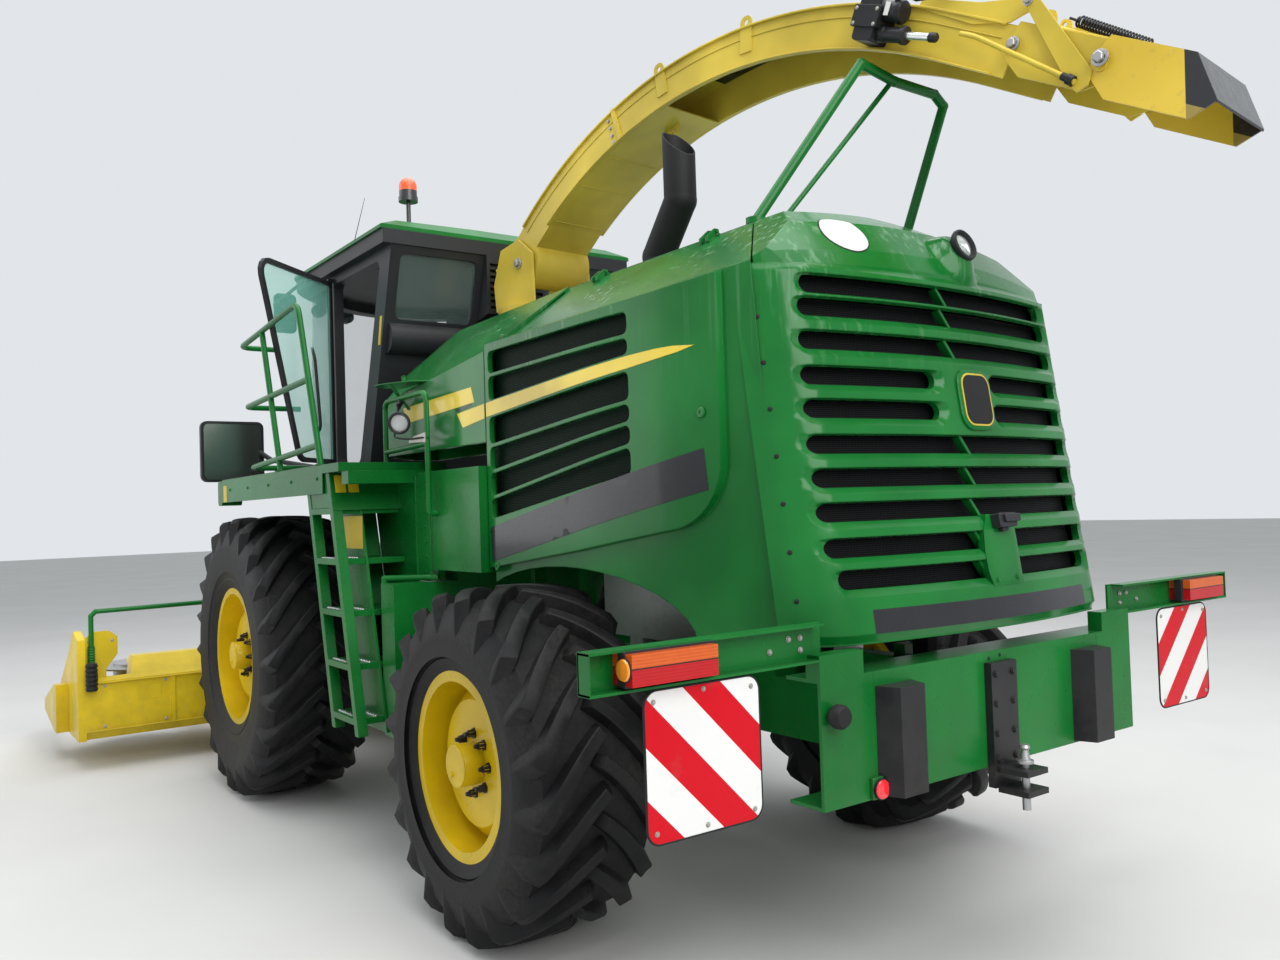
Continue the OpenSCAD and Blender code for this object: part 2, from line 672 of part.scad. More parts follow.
module exhaust_pipe() color(black) placed() {
  r = 75;
  b = [exhaust.x, exhaust.y, 2900];
  c = [exhaust.x - 180, exhaust.y, 3120];
  difference() {
    union() {
      translate([exhaust.x, exhaust.y, engine_high.z]) cylinder(r = r, h = b.z - engine_high.z, $fn = 48);
      translate(b) sphere(r = r + 1, $fn = 48);
      bar(b, c, r);
      translate(c) sphere(r = r + 1, $fn = 48);
      translate(c) cylinder(r = r, h = 330, $fn = 48);
    }
    translate(c + [0, 0, 60]) cylinder(r = r - 6, h = 500, $fn = 48);
    translate(c + [-r - 1, 0, 190]) rotate([0, 45, 0]) translate([-300, -200, 0]) cube([300, 400, 400]);
  }
}

// Rear bumper with its lamp bars

lamp_bar = [[870, 1650], [1224, 1343]];

module rear_bumper() color(green) placed() {
  difference() {
    block([bumper_x, -bumper_w / 2, bumper_z], [rail_rear_x - clear, bumper_w / 2, bumper_z + bumper_h]);
    block([bumper_x + 12, -bumper_w / 2 - 1, bumper_z + 12],
      [rail_rear_x + 1, bumper_w / 2 + 1, bumper_z + bumper_h - 12]);
  }
  both_sides() block([rail_rear_x - 30, rail_y - rail_w, bumper_z + 12],
    [rail_rear_x - clear, rail_y, bumper_z + bumper_h - 12]);
  both_sides() {
    block([bumper_x, 700, bumper_z + bumper_h - 1], [bumper_x + 60, 900, lamp_bar[1][0] + 20]);
    difference() {
      block([bumper_x, lamp_bar[0][0], lamp_bar[1][0]],
        [bumper_x + 60, lamp_bar[0][1] + 100, lamp_bar[1][1]]);
      block([bumper_x - 1, lamp_bar[0][0] - 1, lamp_bar[1][0] + 8],
        [bumper_x + 52, lamp_bar[0][1] + 110, lamp_bar[1][1] - 8]);
    }
    block([bumper_x + 52 - clear, 840, lamp_bar[1][0]], [bumper_x + 60, 880, lamp_bar[1][1]]);
  }
}

module bumper_posts() color(black) placed() both_sides()
  translate([bumper_x - clear, 560, 768]) linear_extrude(352)
    polygon([[0, -90], [-80, -60], [-80, 60], [0, 90]]);

hitch_z = 700;

module tow_hitch() color(black) placed() {
  difference() {
    union() {
      block([bumper_x - 30, -75, 690], [bumper_x - clear, 75, 1130]);
      block([bumper_x - 150, -60, hitch_z + 45], [bumper_x - 29, 60, hitch_z + 65]);
      block([bumper_x - 150, -60, hitch_z - 25], [bumper_x - 29, 60, hitch_z - 5]);
    }
    translate([bumper_x - 100, 0, hitch_z - 60]) cylinder(r = hitch_pin_r + 0.5, h = 200, $fn = 32);
  }
}

module tail_lamps() color(red) placed() both_sides()
  block([bumper_x - 40, 1340, lamp_bar[1][0] + 20], [bumper_x + 52 - clear, 1640, lamp_bar[1][1] - 12]);

module warning_panels() color(white) placed() both_sides() {
  block([bumper_x + 10, 1358 - board / 2, 1006 - board / 2],
    [bumper_x + 14, 1358 + board / 2, 1006 + board / 2]);
  block([bumper_x + 14, 1358 - 20, 1006], [bumper_x + 30, 1358 + 20, lamp_bar[1][0] - clear]);
}

// Platform, ladder and rails

platform_y = 1420;
platform_front = 420;
deck_t = 45;
beam_x = [-1880, -640, 240];

module platform() color(black) placed() {
  block([-1800, cab_y + 15, floor_z - deck_t], [platform_front, platform_y, floor_z]);
  // Apron along the outer edge, with the round-cornered end piece ahead of it
  block([-1560, platform_y - 6, floor_z - 150], [platform_front + 1, platform_y, floor_z - 1]);
  side_plate(platform_y - 130, platform_y) polygon(rounded([
    [platform_front, floor_z - 170], [platform_front, floor_z - 5], [platform_front + 105, floor_z - 5],
    [platform_front + 105, floor_z - 170]
  ], 28));
  mirror([0, 1, 0]) block([-1500, cab_y + 15, floor_z - deck_t], [platform_front, 1350, floor_z]);
  for (x = beam_x) {
    block([x, -1340, floor_z - 110], [x + 90, 1400, floor_z - deck_t]);
    both_sides() block([x, rail_y - 80, x > -400 ? rail_z + rail_step + 210 : rail_z + rail_h],
      [x + 90, rail_y, floor_z - 109]);
  }
}

module ladder() color(green) placed() {
  foot_z = 660;
  top_z = floor_z - deck_t - clear;
  lean = [330, 0, top_z - 5 - foot_z];
  foot = [[-1960, 1360, foot_z], [-1640, 1360, foot_z]];
  for (f = foot) hull() {
    translate(f) block([0, 0, 0], [45, 50, 5]);
    translate(f + lean) block([0, 0, 0], [45, 50, 5]);
  }
  for (k = [0 : 4]) translate(foot[0] + lean * (0.04 + 0.2 * k)) block([20, -100, 0], [345, 50, 30]);
  // Sheet behind the steps, and the panel above them
  for (sheet_at = [[1252, foot_z, top_z], [1395, top_z - 180, top_z]])
    side_plate(sheet_at[0], sheet_at[0] + 12)
    polygon([for (p = [[8, sheet_at[1]], [357, sheet_at[1]], [357, sheet_at[2]], [8, sheet_at[2]]])
      [foot[0].x + p[0] + lean.x * (p[1] - foot_z) / lean.z, p[1]]]);
}

module handrails() color(green) placed() {
  r = 17;
  y = platform_y - 20;
  post = [[-1490, y, floor_z + 40], [-1170, y, 2910], [-20, y, 2830], [-770, y, floor_z + 40]];
  foot = [0, 0, clear - 40];
  rail(concat([post[0] + foot], post, [post[3] + foot]), r);
  rail([post[0] + 0.52 * (post[1] - post[0]), post[3] + 0.52 * (post[2] - post[3])], r);
  // Grab rail at the head of the ladder
  rail([[-1600, 1085, floor_z + clear], [-1600, 1085, 2270], [-1650, 1085, 2320], [-2060, 1085, 2330],
    [-2120, 1085, 2270], [-2120, 1085, 1730], [-2120, tall_box_y + clear, 1730]], r - 3);
}

tall_box_y = 1040;

module side_boxes() color(green) placed() {
  both_sides() block([panel_front_x + 12, 560, 1450], [-2050, tall_box_y, floor_z - 60]);
  both_sides() block([-2050, 480, 640], [-1890, 1250, 1390]);
  both_sides() block([-2050 - 1, 480, 1300], [-1890, 900, floor_z - 115]);
  both_sides() block([-2050, rail_y + clear, 900], [-1890, 481, 1040]);
  // Guard rail beside the ladder
  rail([[-1900, 1190, 700], [-1868, 1222, 730], [-1868, 1222, 1412], [-2060, 1015, 1412]], 15);
}

// Cab

// Cab as seen from the side: the rear pillar leans back
function cab_side(inset) = [
  [-680 + inset, floor_z + inset], [-1110 + inset, roof_z - inset], [1100, roof_z - inset],
    [1100, floor_z + inset]
];

// The front is round in plan and widest at the waist: two round faces leaning apart from there
cab_round_r = 950;
waist = [900, 2750];
front_lean = [atan((waist.x - cab_front_x) / (waist.y - floor_z)), -6.9];

module round_front(at, lean, inset) translate([at.x - cab_round_r, 0, at.y]) rotate([0, lean, 0])
  translate([0, 0, -2000]) {
    cylinder(r = cab_round_r - inset, h = 4000, $fn = 180);
    translate([-3000, inset - cab_round_r, 0]) cube([3000, 2 * (cab_round_r - inset), 4000]);
  }

module cab_form(inset) intersection() {
  side_plate(-cab_y + inset, cab_y - inset) polygon(cab_side(inset));
  round_front(waist, front_lean[0], inset);
  round_front(waist, front_lean[1], inset);
}

sill = 120;
header_rail = 60;
screen_x = -60;
doorway = [[-530, floor_z + 70], [-940, roof_z - header_rail], [-140, roof_z - header_rail],
  [-140, floor_z + 70]];
right_pane = [[-740, floor_z + 420], [-1010, roof_z - header_rail], [-140, roof_z - header_rail],
  [-140, floor_z + 420]];
rear_pane = [[250, 2910], [cab_y - 65, 2910], [cab_y - 65, roof_z - 45], [250, roof_z - 45]];

module cab_openings() {
  side_plate(cab_y - 2 * wall, cab_y + 100) polygon(rounded(doorway, 50));
  side_plate(-cab_y - 100, -cab_y + 2 * wall) polygon(rounded(right_pane, 50));
  // Windscreen, round the whole front from pillar to pillar
  block([screen_x, -1000, floor_z + sill], [1100, 1000, roof_z - header_rail]);
  both_sides() cross_plate(-1300, -700) polygon(rounded(rear_pane, 40));
}

// Black rim that the roof's cap sits on, and the louvred air inlet between the rear windows
rim_h = 85;
rim_y = cab_y + 55;
inlet_y = 210;
inlet_x = -1140;

module cab_shell() color(black) placed() {
  cab_body();
  door_hinges();
  intersection() {
    block([-1120, -rim_y, roof_z], [1100, rim_y, roof_z + rim_h]);
    round_front([waist.x + 100, roof_z], 0, -15);
  }
  difference() {
    side_plate(-inlet_y, inlet_y) polygon([[-950, 2925], [inlet_x, 2960], [inlet_x, roof_z + 1],
      [-1080, roof_z + 1]]);
    for (z = [2990 : 38 : roof_z - 40]) block([inlet_x - 1, -inlet_y + 22, z],
      [inlet_x + 28, inlet_y - 22, z + 20]);
  }
  // Round-backed duct under the rear windows
  translate([-925, 0, 2800]) rotate([90, 0, 0])
    cylinder(r = 95, h = 2 * cab_y - 60, center = true, $fn = 48);
  // Rubber mounts between cab floor and platform beams
  for (x = [beam_x[1] + 45, beam_x[2] + 45], y = [-560, 560])
    translate([x, y, floor_z - deck_t + clear]) cylinder(r = 40, h = deck_t + 1, $fn = 32);
}

module cab_body() difference() {
  cab_form(0);
  cab_form(wall);
  intersection() {
    translate([0, 0, 2 * wall + 1]) cab_form(2 * wall);
    block([-2000, -1000, 3000], [1000, 1000, roof_z + 1]);
  }
  cab_openings();
}

// Hinge brackets with their pins, above and below the door
hinge_x = -120;
hinge_y = cab_y + 24;
door_z = [floor_z + 80, roof_z - 40];
door_pin_r = 8;

module door_hinges() {
  block([hinge_x - 15, cab_y - 1, door_z[0] - 20], [hinge_x + 15, hinge_y + 14, door_z[0] - clear]);
  block([hinge_x - 15, cab_y - 1, door_z[1] + clear], [hinge_x + 15, hinge_y + 14, door_z[1] + 20]);
  translate([hinge_x, hinge_y, door_z[0] - 10]) cylinder(r = door_pin_r, h = 50, $fn = 32);
  translate([hinge_x, hinge_y, door_z[1] - 40]) cylinder(r = door_pin_r, h = 50, $fn = 32);
}

crown_y = 760;
crown_side = 75;
crown_mid = 105;

// Green cap: a level rim, then planes rising to a low crown
module cab_roof() color(green) placed() {
  base = roof_z + rim_h + clear;
  intersection() {
    side_plate(-rim_y - 15, rim_y + 15) polygon([
      [-1120, base], [-1120, base + 25], [-1010, base + 95], [300, base + 105], [760, base + 62],
        [1015, base + 12],
      [1015, base]
    ]);
    cross_plate(-1150, 1100) polygon([
      [-rim_y - 15, base], [-rim_y - 15, base + 20], [-crown_y, base + crown_side], [0, base + crown_mid],
      [crown_y, base + crown_side], [rim_y + 15, base + 20], [rim_y + 15, base]
    ]);
    round_front([waist.x + 100, roof_z], 0, -30);
  }
}

// Panes lie within the thickness of the walls, a little smaller than their openings
module cab_windows() color(glass) placed() intersection() {
  difference() {
    cab_form(24);
    cab_form(30);
  }
  union() {
    side_plate(-cab_y, -cab_y + 2 * wall) polygon(rounded(inset_outline(right_pane, clear), 50 - clear));
    block([screen_x + clear, -1000, floor_z + sill + clear], [1100, 1000, roof_z - header_rail - clear]);
    both_sides() cross_plate(-1300, -700) polygon(rounded(inset_outline(rear_pane, clear), 40 - clear));
  }
}

module seat() color(black) placed() {
  translate([-250, 0, floor_z + wall + clear]) {
    cylinder(r = 130, h = 300, $fn = 32);
    block([-250, -250, 290], [250, 250, 420]);
    hull() {
      block([-270, -230, 380], [-150, 230, 450]);
      block([-370, -200, 850], [-290, 200, 980]);
    }
  }
}

module steering_console() color(black) placed() {
  hull() {
    block([280, -90, floor_z + wall + clear], [440, 90, floor_z + wall + 20]);
    block([180, -70, floor_z + 660], [260, 70, floor_z + 700]);
  }
  translate([190, 0, floor_z + 710]) rotate([0, -35, 0]) difference() {
    cylinder(r = 215, h = 28, $fn = 48);
    translate([0, 0, -1]) cylinder(r = 190, h = 40, $fn = 48);
  }
  translate([190, 0, floor_z + 690]) rotate([0, -35, 0]) {
    cylinder(r = 45, h = 50, $fn = 32);
    for (a = [0, 120, 240]) rotate(a) block([0, -14, 22], [200, 14, 40]);
  }
  block([-550, -420, floor_z + wall + clear], [0, -280, floor_z + 640]);
}

// Wide mirrors outside the wheels and small ones under the roof, on arms from the cab's sides
module mirrors() color(black) placed() both_sides() {
  cross_plate(970, 1010) polygon(rounded([[980, 2010], [980, 2450], [1420, 2450], [1420, 2010]], 45));
  block([150, cab_y + clear, floor_z + 40], [210, cab_y + 30, floor_z + sill - 20]);
  rail([[180, cab_y + 25, floor_z + 70], [850, 960, floor_z + 160], [985, 1010, 2230]], 18);
  block([150, rim_y + clear, roof_z + 15], [210, rim_y + 30, roof_z + 65]);
  rail([[180, rim_y + 20, roof_z + 40], [760, 940, 3290], [880, 850, 3270]], 12);
  cross_plate(865, 895) polygon(rounded([[750, 3110], [750, 3400], [910, 3400], [910, 3110]], 35));
}

// Lamps hung under the roof's rim along its round front
module work_lamps() color(black) placed() both_sides() for (y = [350, 620]) {
  rim_x = waist.x + 100 - cab_round_r + sqrt(pow(cab_round_r + 15, 2) - y * y);
  translate([rim_x - 70, y, roof_z - 60]) rotate([0, 90, 0]) cylinder(r = 48, h = 60, $fn = 32);
  block([rim_x - 60, y - 10, roof_z - 30], [rim_x - 30, y + 10, roof_z - clear]);
}

beacon_at = [-780, 560];

beacon_z = roof_z + rim_h + crown_mid - (crown_mid - crown_side) * beacon_at.y / crown_y + 3 * clear;

module beacon() color(amber) placed() translate([beacon_at.x, beacon_at.y, beacon_z]) {
  cylinder(r = 14, h = 200, $fn = 24);
  translate([0, 0, 199]) cylinder(r = 60, h = 30, $fn = 32);
  translate([0, 0, 228]) cylinder(r = 55, h = 70, $fn = 32);
  translate([0, 0, 298]) sphere(r = 54.5, $fn = 32);
}

// Spout

// Heights of the cradle's left corner and of its saddle under the spout
cradle_corner_z = 3510;
saddle_z = 3480;

// Foot of a cradle bar at this distance from the middle, just above the deck
cradle_x = seam_x + 60;
function cradle_seat(y) = crest_z + 50 * (1 - (abs(y) - 40) / crest_y) + clear;
function cradle_foot(y) = [cradle_x, y, cradle_seat(y) + 14];

module spout_cradle() color(green) placed() {
  rail([cradle_foot(440), [-4020, -5, cradle_corner_z], [-4020, -210, saddle_z], [-4020, -470, saddle_z],
    [-4020, -530, saddle_z - 40], cradle_foot(-440)], 21);
  bar(cradle_foot(300), [-4012, -204, saddle_z + 2], 11);
  for (y = [440, 300, -440]) translate([cradle_x, y, cradle_seat(y)]) cylinder(r = 40, h = 25, $fn = 32);
}

turret_z = 2900;

module spout_turret() color(black) placed() translate([turret_x, 0, 0]) {
  translate([0, 0, 2300 + clear]) cylinder(r = 195, h = turret_z - 2300 - 60 - clear, $fn = 48);
  translate([0, 0, turret_z - 80]) cylinder(r = 290, h = 60, $fn = 48);
}

// The spout's own frame: S back along the spout from the turret, Y across, Z up
module spout_frame() translate([turret_x, 0, 0]) rotate(180 + park_yaw) children();

// Ring sector between two radii and two angles from straight up, as an outline
function sector(mid, r0, r1, a0, a1, n) = concat(
  [for (i = [0 : n]) let (a = a0 + (a1 - a0) * i / n) [mid.x + r0 * sin(a), mid.y + r0 * cos(a)]],
  [for (i = [n : -1 : 0]) let (a = a0 + (a1 - a0) * i / n) [mid.x + r1 * sin(a), mid.y + r1 * cos(a)]]
);

// Pin on which the whole spout lifts, in the spout's own frame
tilt_pin = [60, 3190];
tilt_r = 165;
pin_r = 20;

module spout_base() color(yellow) placed() spout_frame() {
  translate([0, 0, turret_z - 20 + clear]) difference() {
    cylinder(r = 270, h = 60, $fn = 48);
    translate([0, 0, -1]) cylinder(r = 170, h = 90, $fn = 48);
  }
  for (side = [-1, 1]) translate([0, side * (spout_w / 2 + 17), 0]) difference() {
    side_plate(-8, 8) polygon([
      [-180, turret_z + 35], [-200, 3100], [-120, 3300], [60, 3330], [190, 3230], [200, turret_z + 35]
    ]);
    side_plate(-10, 10) translate(tilt_pin) circle(r = pin_r + running, $fn = 32);
  }
  // Hand rail bent round the front of the foot
  rail([[-165, -spout_w / 2 - 17, 3190], [-235, -150, 3195], [-235, 150, 3195],
    [-165, spout_w / 2 + 17, 3190]], 12);
}

// Side view of the spout: a round end about the lift pin, the arc, then a straight piece
module spout_side(inset) {
  translate(tilt_pin) circle(r = tilt_r - inset, $fn = 64);
  polygon(sector(spout_mid, spout_r - spout_h + inset, spout_r - inset, arc_start - 3, arc_end, 16));
  polygon(concat(
    straight_run(spout_r - inset, -1, inner_pin_x - 10 + inset),
    [for (k = [1, 0]) straight_run(spout_r - spout_h + inset, -1, inner_pin_x - 10 + inset)[k]]
  ));
}

// Ear at the spout's end, around the first deflector's pin
ear = [[-60, -20], [10, -30], [45, -inner_pin_h], [10, -inner_pin_h - 50], [-60, -inner_pin_h - 60]];

module spout_arc() color(yellow) placed() spout_frame() {
  difference() {
    union() {
      side_plate(-spout_w / 2 + 1, spout_w / 2 - 1) spout_side(0);
      side_plate(-spout_w / 2 + 1, spout_w / 2 - 1)
        polygon([for (c = ear) straight_run(spout_r + c.y, inner_pin_x + c.x, 0)[0]]);
    }
    side_plate(-spout_w / 2 + spout_t, spout_w / 2 - spout_t) {
      spout_side(spout_t);
      // Mouth over the base
      polygon([
        tilt_pin + [-tilt_r + 30, -tilt_r - 10], tilt_pin + [-tilt_r + 30, -60], tilt_pin + [60, -60],
        tilt_pin + [60, -tilt_r - 10]
      ]);
      // Open underside behind the bend
      polygon(sector(spout_mid, spout_r - spout_h - 80, spout_r - spout_t, -8, arc_end + 12, 12));
    }
    side_plate(-spout_w, spout_w) translate(inner_pin) circle(r = pin_r + running, $fn = 32);
  }
  for (side = [-1, 1]) {
    translate([tilt_pin.x, side * (spout_w / 2 + 12), tilt_pin.y]) rotate([90, 0, 0])
      cylinder(r = pin_r, h = 36, center = true, $fn = 32);
    // Straps with lifting eyes, and the bolted joint
    for (a = strap_a) outer_plate(side, 7) translate(spout_mid) rotate(-a) difference() {
      polygon(concat([[-35, spout_r - 120], [35, spout_r - 120]],
        corner([35, spout_r - 120], [35, spout_r + 48], [-35, spout_r + 48], 30),
        corner([35, spout_r + 48], [-35, spout_r + 48], [-35, spout_r - 120], 30)));
      translate([0, spout_r + 18]) circle(r = 13, $fn = 32);
    }
    outer_plate(side, 12) polygon(sector(spout_mid, spout_r - spout_h - 4, spout_r + 8, joint_a,
      joint_a + 0.6, 2));
  }
  // Flap along the foot of the arc, and the eye under it
  side_plate(-150, 150) polygon([[60, 3370], [88, 3428], [325, 3600], [352, 3545]]);
  side_plate(-6, 6) translate(spout_mid) rotate(-eye_a) difference() {
    polygon([[-70, spout_r - spout_h + 4], [60, spout_r - spout_h + 4], [45, spout_r - spout_h - 50],
      [-10, spout_r - spout_h - 50]]);
    translate([18, spout_r - spout_h - 25]) circle(r = 14, $fn = 32);
  }
}

// Angles from straight up: lifting straps, bolted joint, eye under the arc
strap_a = [-8.3, 5];
joint_a = -17;
eye_a = -12;

// A flat piece on the outside of the spout's left or right wall
module outer_plate(side, t) translate([0, side * (spout_w / 2 - 1 + t / 2), 0]) side_plate(-t / 2, t / 2)
  children();

motor_a = 23;

// Actuator on the spout's right wall, whose rod reaches to the first deflector's levers
module spout_motor() color(black) placed() spout_frame() {
  r = spout_r - 90;
  translate([spout_mid.x + r * sin(motor_a), spout_w / 2 - 1 + clear, spout_mid.y + r * cos(motor_a)])
    rotate([0, motor_a, 0]) {
      block([-60, 0, -76], [40, 110, 90]);
      translate([39, 60, 40]) rotate([0, 90, 0]) cylinder(r = 45, h = 150, $fn = 32);
      translate([188, 60, 40]) rotate([0, 90, 0]) cylinder(r = 14, h = 150, $fn = 32);
      translate([39, 60, -40]) rotate([0, 90, 0]) cylinder(r = 30, h = 130, $fn = 32);
    }
}

// Deflectors: channels open downward, each pivoting at the end of the piece before it.
// Heights are above the pins, lengths along the piece.
inner_top = inner_pin_h + spout_t + 6;
end_top = inner_top + spout_t + 6;
inner_w = end_w - 28;

module deflector_inner() color(yellow) placed() spout_frame()
  translate([inner_pin.x, 0, inner_pin.y]) rotate([0, arc_end, 0]) {
    block([-20, -inner_w / 2, inner_top - spout_t], [inner_len - 12, inner_w / 2, inner_top]);
    for (side = [-1, 1]) translate([0, side * (inner_w - spout_t) / 2, 0]) {
      side_plate(-spout_t / 2, spout_t / 2) difference() {
        polygon([
          [-20, inner_top], [-45, 0], [-20, -50], [60, -95], [inner_len - 40, -90], [inner_len + 40, -40],
          [inner_len + 40, 30], [inner_len - 12, inner_top]
        ]);
        translate([inner_len, 0]) circle(r = pin_r + running, $fn = 32);
      }
      rotate([90, 0, 0]) translate([0, 0, side * 6])
        cylinder(r = pin_r, h = spout_t + 20, center = true, $fn = 32);
    }
    // Levers above the pin, and the link that lies along the top towards the last deflector
    for (side = [-1, 1]) translate([0, side * 60, 0]) side_plate(-5, 5) difference() {
      polygon(concat([[60, inner_top - 1], [-20, inner_top - 1]],
        corner([-20, inner_top - 1], [-28, 170], [12, 170], 14),
          corner([-28, 170], [12, 170], [60, inner_top - 1], 14)));
      translate([-8, 150]) circle(r = 9, $fn = 32);
    }
    rail([[40, -60, inner_top + 25], [inner_len - 50, -60, inner_top + 22]], 9);
    block([inner_len - 62, -70, inner_top - 1], [inner_len - 42, -50, inner_top + 24]);
  }

module deflector_end() color(yellow) placed() spout_frame()
  translate([end_pin.x, 0, end_pin.y]) rotate([0, arc_end, 0]) {
    block([-12, -end_w / 2, end_top - spout_t], [end_len - 130, end_w / 2, end_top]);
    for (side = [-1, 1]) translate([0, side * (end_w - spout_t) / 2, 0]) {
      side_plate(-spout_t / 2, spout_t / 2) polygon([
        [-12, end_top], [-45, 20], [-30, -40], [60, -100], [end_len - 60, -95], [end_len, -20],
          [end_len - 130, end_top]
      ]);
      rotate([90, 0, 0]) translate([0, 0, side * 8])
        cylinder(r = pin_r, h = spout_t + 24, center = true, $fn = 32);
    }
    hull() {
      block([end_len - 131, -end_w / 2, end_top - spout_t], [end_len - 130, end_w / 2, end_top]);
      block([end_len - 1, -end_w / 2, -20 - spout_t], [end_len, end_w / 2, -20]);
    }
  }

// Header

module feeder_house() color(black) placed() {
  difference() {
    side_plate(-330, 330) polygon([
      [lift_x - 80, 860], [lift_x - 80, lift_z + 60], [lift_x + 60, lift_z + 100],
        [header_back_x - clear, 1050],
      [header_back_x - clear, 340], [lift_x + 200, 480]
    ]);
    side_plate(-280, 280) polygon([
      [lift_x + 120, 700], [lift_x + 120, 980], [header_back_x + 1, 880], [header_back_x + 1, 440]
    ]);
  }
  on_axle(lift_x, -rail_y - 5, lift_z) cylinder(r = lift_pin_r, h = 2 * rail_y + 10, $fn = 48);
  // Pins for the lift cylinders' rods
  both_sides() on_axle(rod_eye.x, 329, rod_eye.y) {
    cylinder(r = 45, h = 12, $fn = 48);
    cylinder(r = cylinder_pin_r, h = cylinder_y + 35 - 329, $fn = 48);
  }
}

// Header lift cylinders, from brackets under the front axle to pins on the feeder house
cylinder_y = 375;
cylinder_pin_r = 22;
barrel_eye = [170, 640];
rod_eye = [1180, 560];
barrel_r = 48;
barrel_start = 70;
barrel_end = 620;
function cylinder_angle() = atan2(barrel_eye.y - rod_eye.y, rod_eye.x - barrel_eye.x);
module on_cylinder() both_sides() translate([barrel_eye.x, cylinder_y, barrel_eye.y])
  rotate([0, cylinder_angle(), 0]) children();

// An eye about the Y axis, 50 mm wide
module eye(r, bore) difference() {
  rotate([90, 0, 0]) cylinder(r = r, h = 50, center = true, $fn = 48);
  rotate([90, 0, 0]) cylinder(r = bore, h = 60, center = true, $fn = 48);
}

module lift_barrels() color(green) placed() on_cylinder() {
  eye(40, cylinder_pin_r + running);
  rotate([0, 90, 0]) translate([0, 0, 34]) cylinder(r = 22, h = barrel_start - 33, $fn = 48);
  difference() {
    rotate([0, 90, 0]) translate([0, 0, barrel_start])
      cylinder(r = barrel_r, h = barrel_end - barrel_start, $fn = 48);
    rotate([0, 90, 0]) translate([0, 0, barrel_start + 40])
      cylinder(r = barrel_r - 10, h = barrel_end - barrel_start - 70, $fn = 48);
    rotate([0, 90, 0]) translate([0, 0, barrel_start + 40])
      cylinder(r = rod_r + running, h = barrel_end, $fn = 48);
  }
}

rod_r = 26;
cylinder_len = norm(rod_eye - barrel_eye);
module lift_rods() color(steel) placed() on_cylinder() {
  translate([cylinder_len, 0, 0]) eye(42, cylinder_pin_r + 8);
  translate([barrel_end - 260, 0, 0]) rotate([0, 90, 0])
    cylinder(r = rod_r, h = cylinder_len - 36 - barrel_end + 260, $fn = 48);
}

drum_pitch = (header_w - 280) / 4;
drum_z = header_z + 92;
drum_x = header_back_x + 640;
spindle_r = 45;
function drum_y(k) = (k - 2.5) * drum_pitch;

// Height to which the back wall stays whole under the deck's slanted ends
deck_foot = 600;

module header_frame() color(yellow) placed() {
  w = header_w / 2;
  // Back wall with its sloping top deck and floor
  difference() {
    side_plate(-w + 130, w - 130) polygon([
      [header_back_x, header_z + 60], [header_back_x, 620], [header_back_x + 300, 744],
        [header_back_x + 420, 744],
      [header_back_x + 420, 700], [header_back_x + 320, 690], [header_back_x + 60, 590],
        [header_back_x + 60, header_z + 90],
      [header_back_x + 900, header_z + 60], [header_back_x + 900, header_z + 30],
        [header_back_x + 60, header_z]
    ]);
    block([header_back_x - 1, -270, 400], [header_back_x + 61, 270, 560]);
    // The deck stops short of the ends on a slant
    both_sides() cross_plate(header_back_x + 61, header_back_x + 500)
      polygon([[w - 400, 800], [w - 520, 800], [w - 400, deck_foot], [w - 100, deck_foot], [w - 100, 800]]);
  }
  // Plate with cut corners at each end of the back wall
  both_sides() cross_plate(header_back_x + 52, header_back_x + 62) polygon([
    [w - 130, 560], [w - 130, 925], [w - 185, 970], [w - 290, 970], [w - 345, 925], [w - 345, 800],
      [w - 270, 700],
    [w - 270, 560]
  ]);
  both_sides() {
    side_plate(w - 131, w - 80) polygon([
      [header_back_x, header_z], [header_back_x, 920], [header_back_x + 200, 970],
        [header_back_x + 500, 760],
      [header_back_x + 1100, 420], [nose_x, header_z + 40], [nose_x - 60, header_z]
    ]);
    hull() {
      block([header_back_x + 500, w - 81, header_z], [header_back_x + 600, w, 560]);
      block([nose_x - 200, w - 81, header_z], [nose_x - 150, w - 60, 300]);
    }
  }
  for (y = [-1, 0, 1]) hull() {
    block([header_back_x + 880, y * header_w / 4 - 90, header_z + 32],
      [header_back_x + 900, y * header_w / 4 + 90, header_z + 58]);
    block([nose_x - 30, y * header_w / 4 - 15, header_z + 20],
      [nose_x, y * header_w / 4 + 15, header_z + 50]);
  }
  for (k = [1 : 4]) translate([drum_x, drum_y(k), header_z + 40]) {
    cylinder(r = 90, h = drum_z - header_z - 40 - clear, $fn = 48);
    cylinder(r = spindle_r, h = 300, $fn = 48);
  }
}

// Height of the back wall's sloping top
function deck_z(x) = 620 + (x - header_back_x) * 124 / 300;

module header_guard() color(green) placed() {
  r = 17;
  x = header_back_x + 24;
  outer = header_w / 2 - 172;
  foot_z = deck_z(x + 22) + clear;
  spring = [26, 20];
  turn = 9;
  both_sides() {
    rail([[x, outer, foot_z + 30], [x, outer, 1085], [x, outer - 30, 1115], [x, 480, 1135], [x, 450, 1105],
      [x, 450, foot_z + 30]], r);
    for (y = [450, outer]) side_plate(y - 36, y + 36) polygon([
      [x - 22, deck_z(x - 22) + clear], [x + 22, foot_z], [x + 22, foot_z + 50], [x - 22, foot_z + 50]
    ]);
    // Spring sleeve that lets the outer post give way
    translate([x, outer, foot_z + 49]) rotate_extrude($fn = 48) polygon(concat([[5, 0]],
      [for (k = [0 : 20]) [spring[k % 2], turn * k]], [[5, turn * 20]]));
  }
}

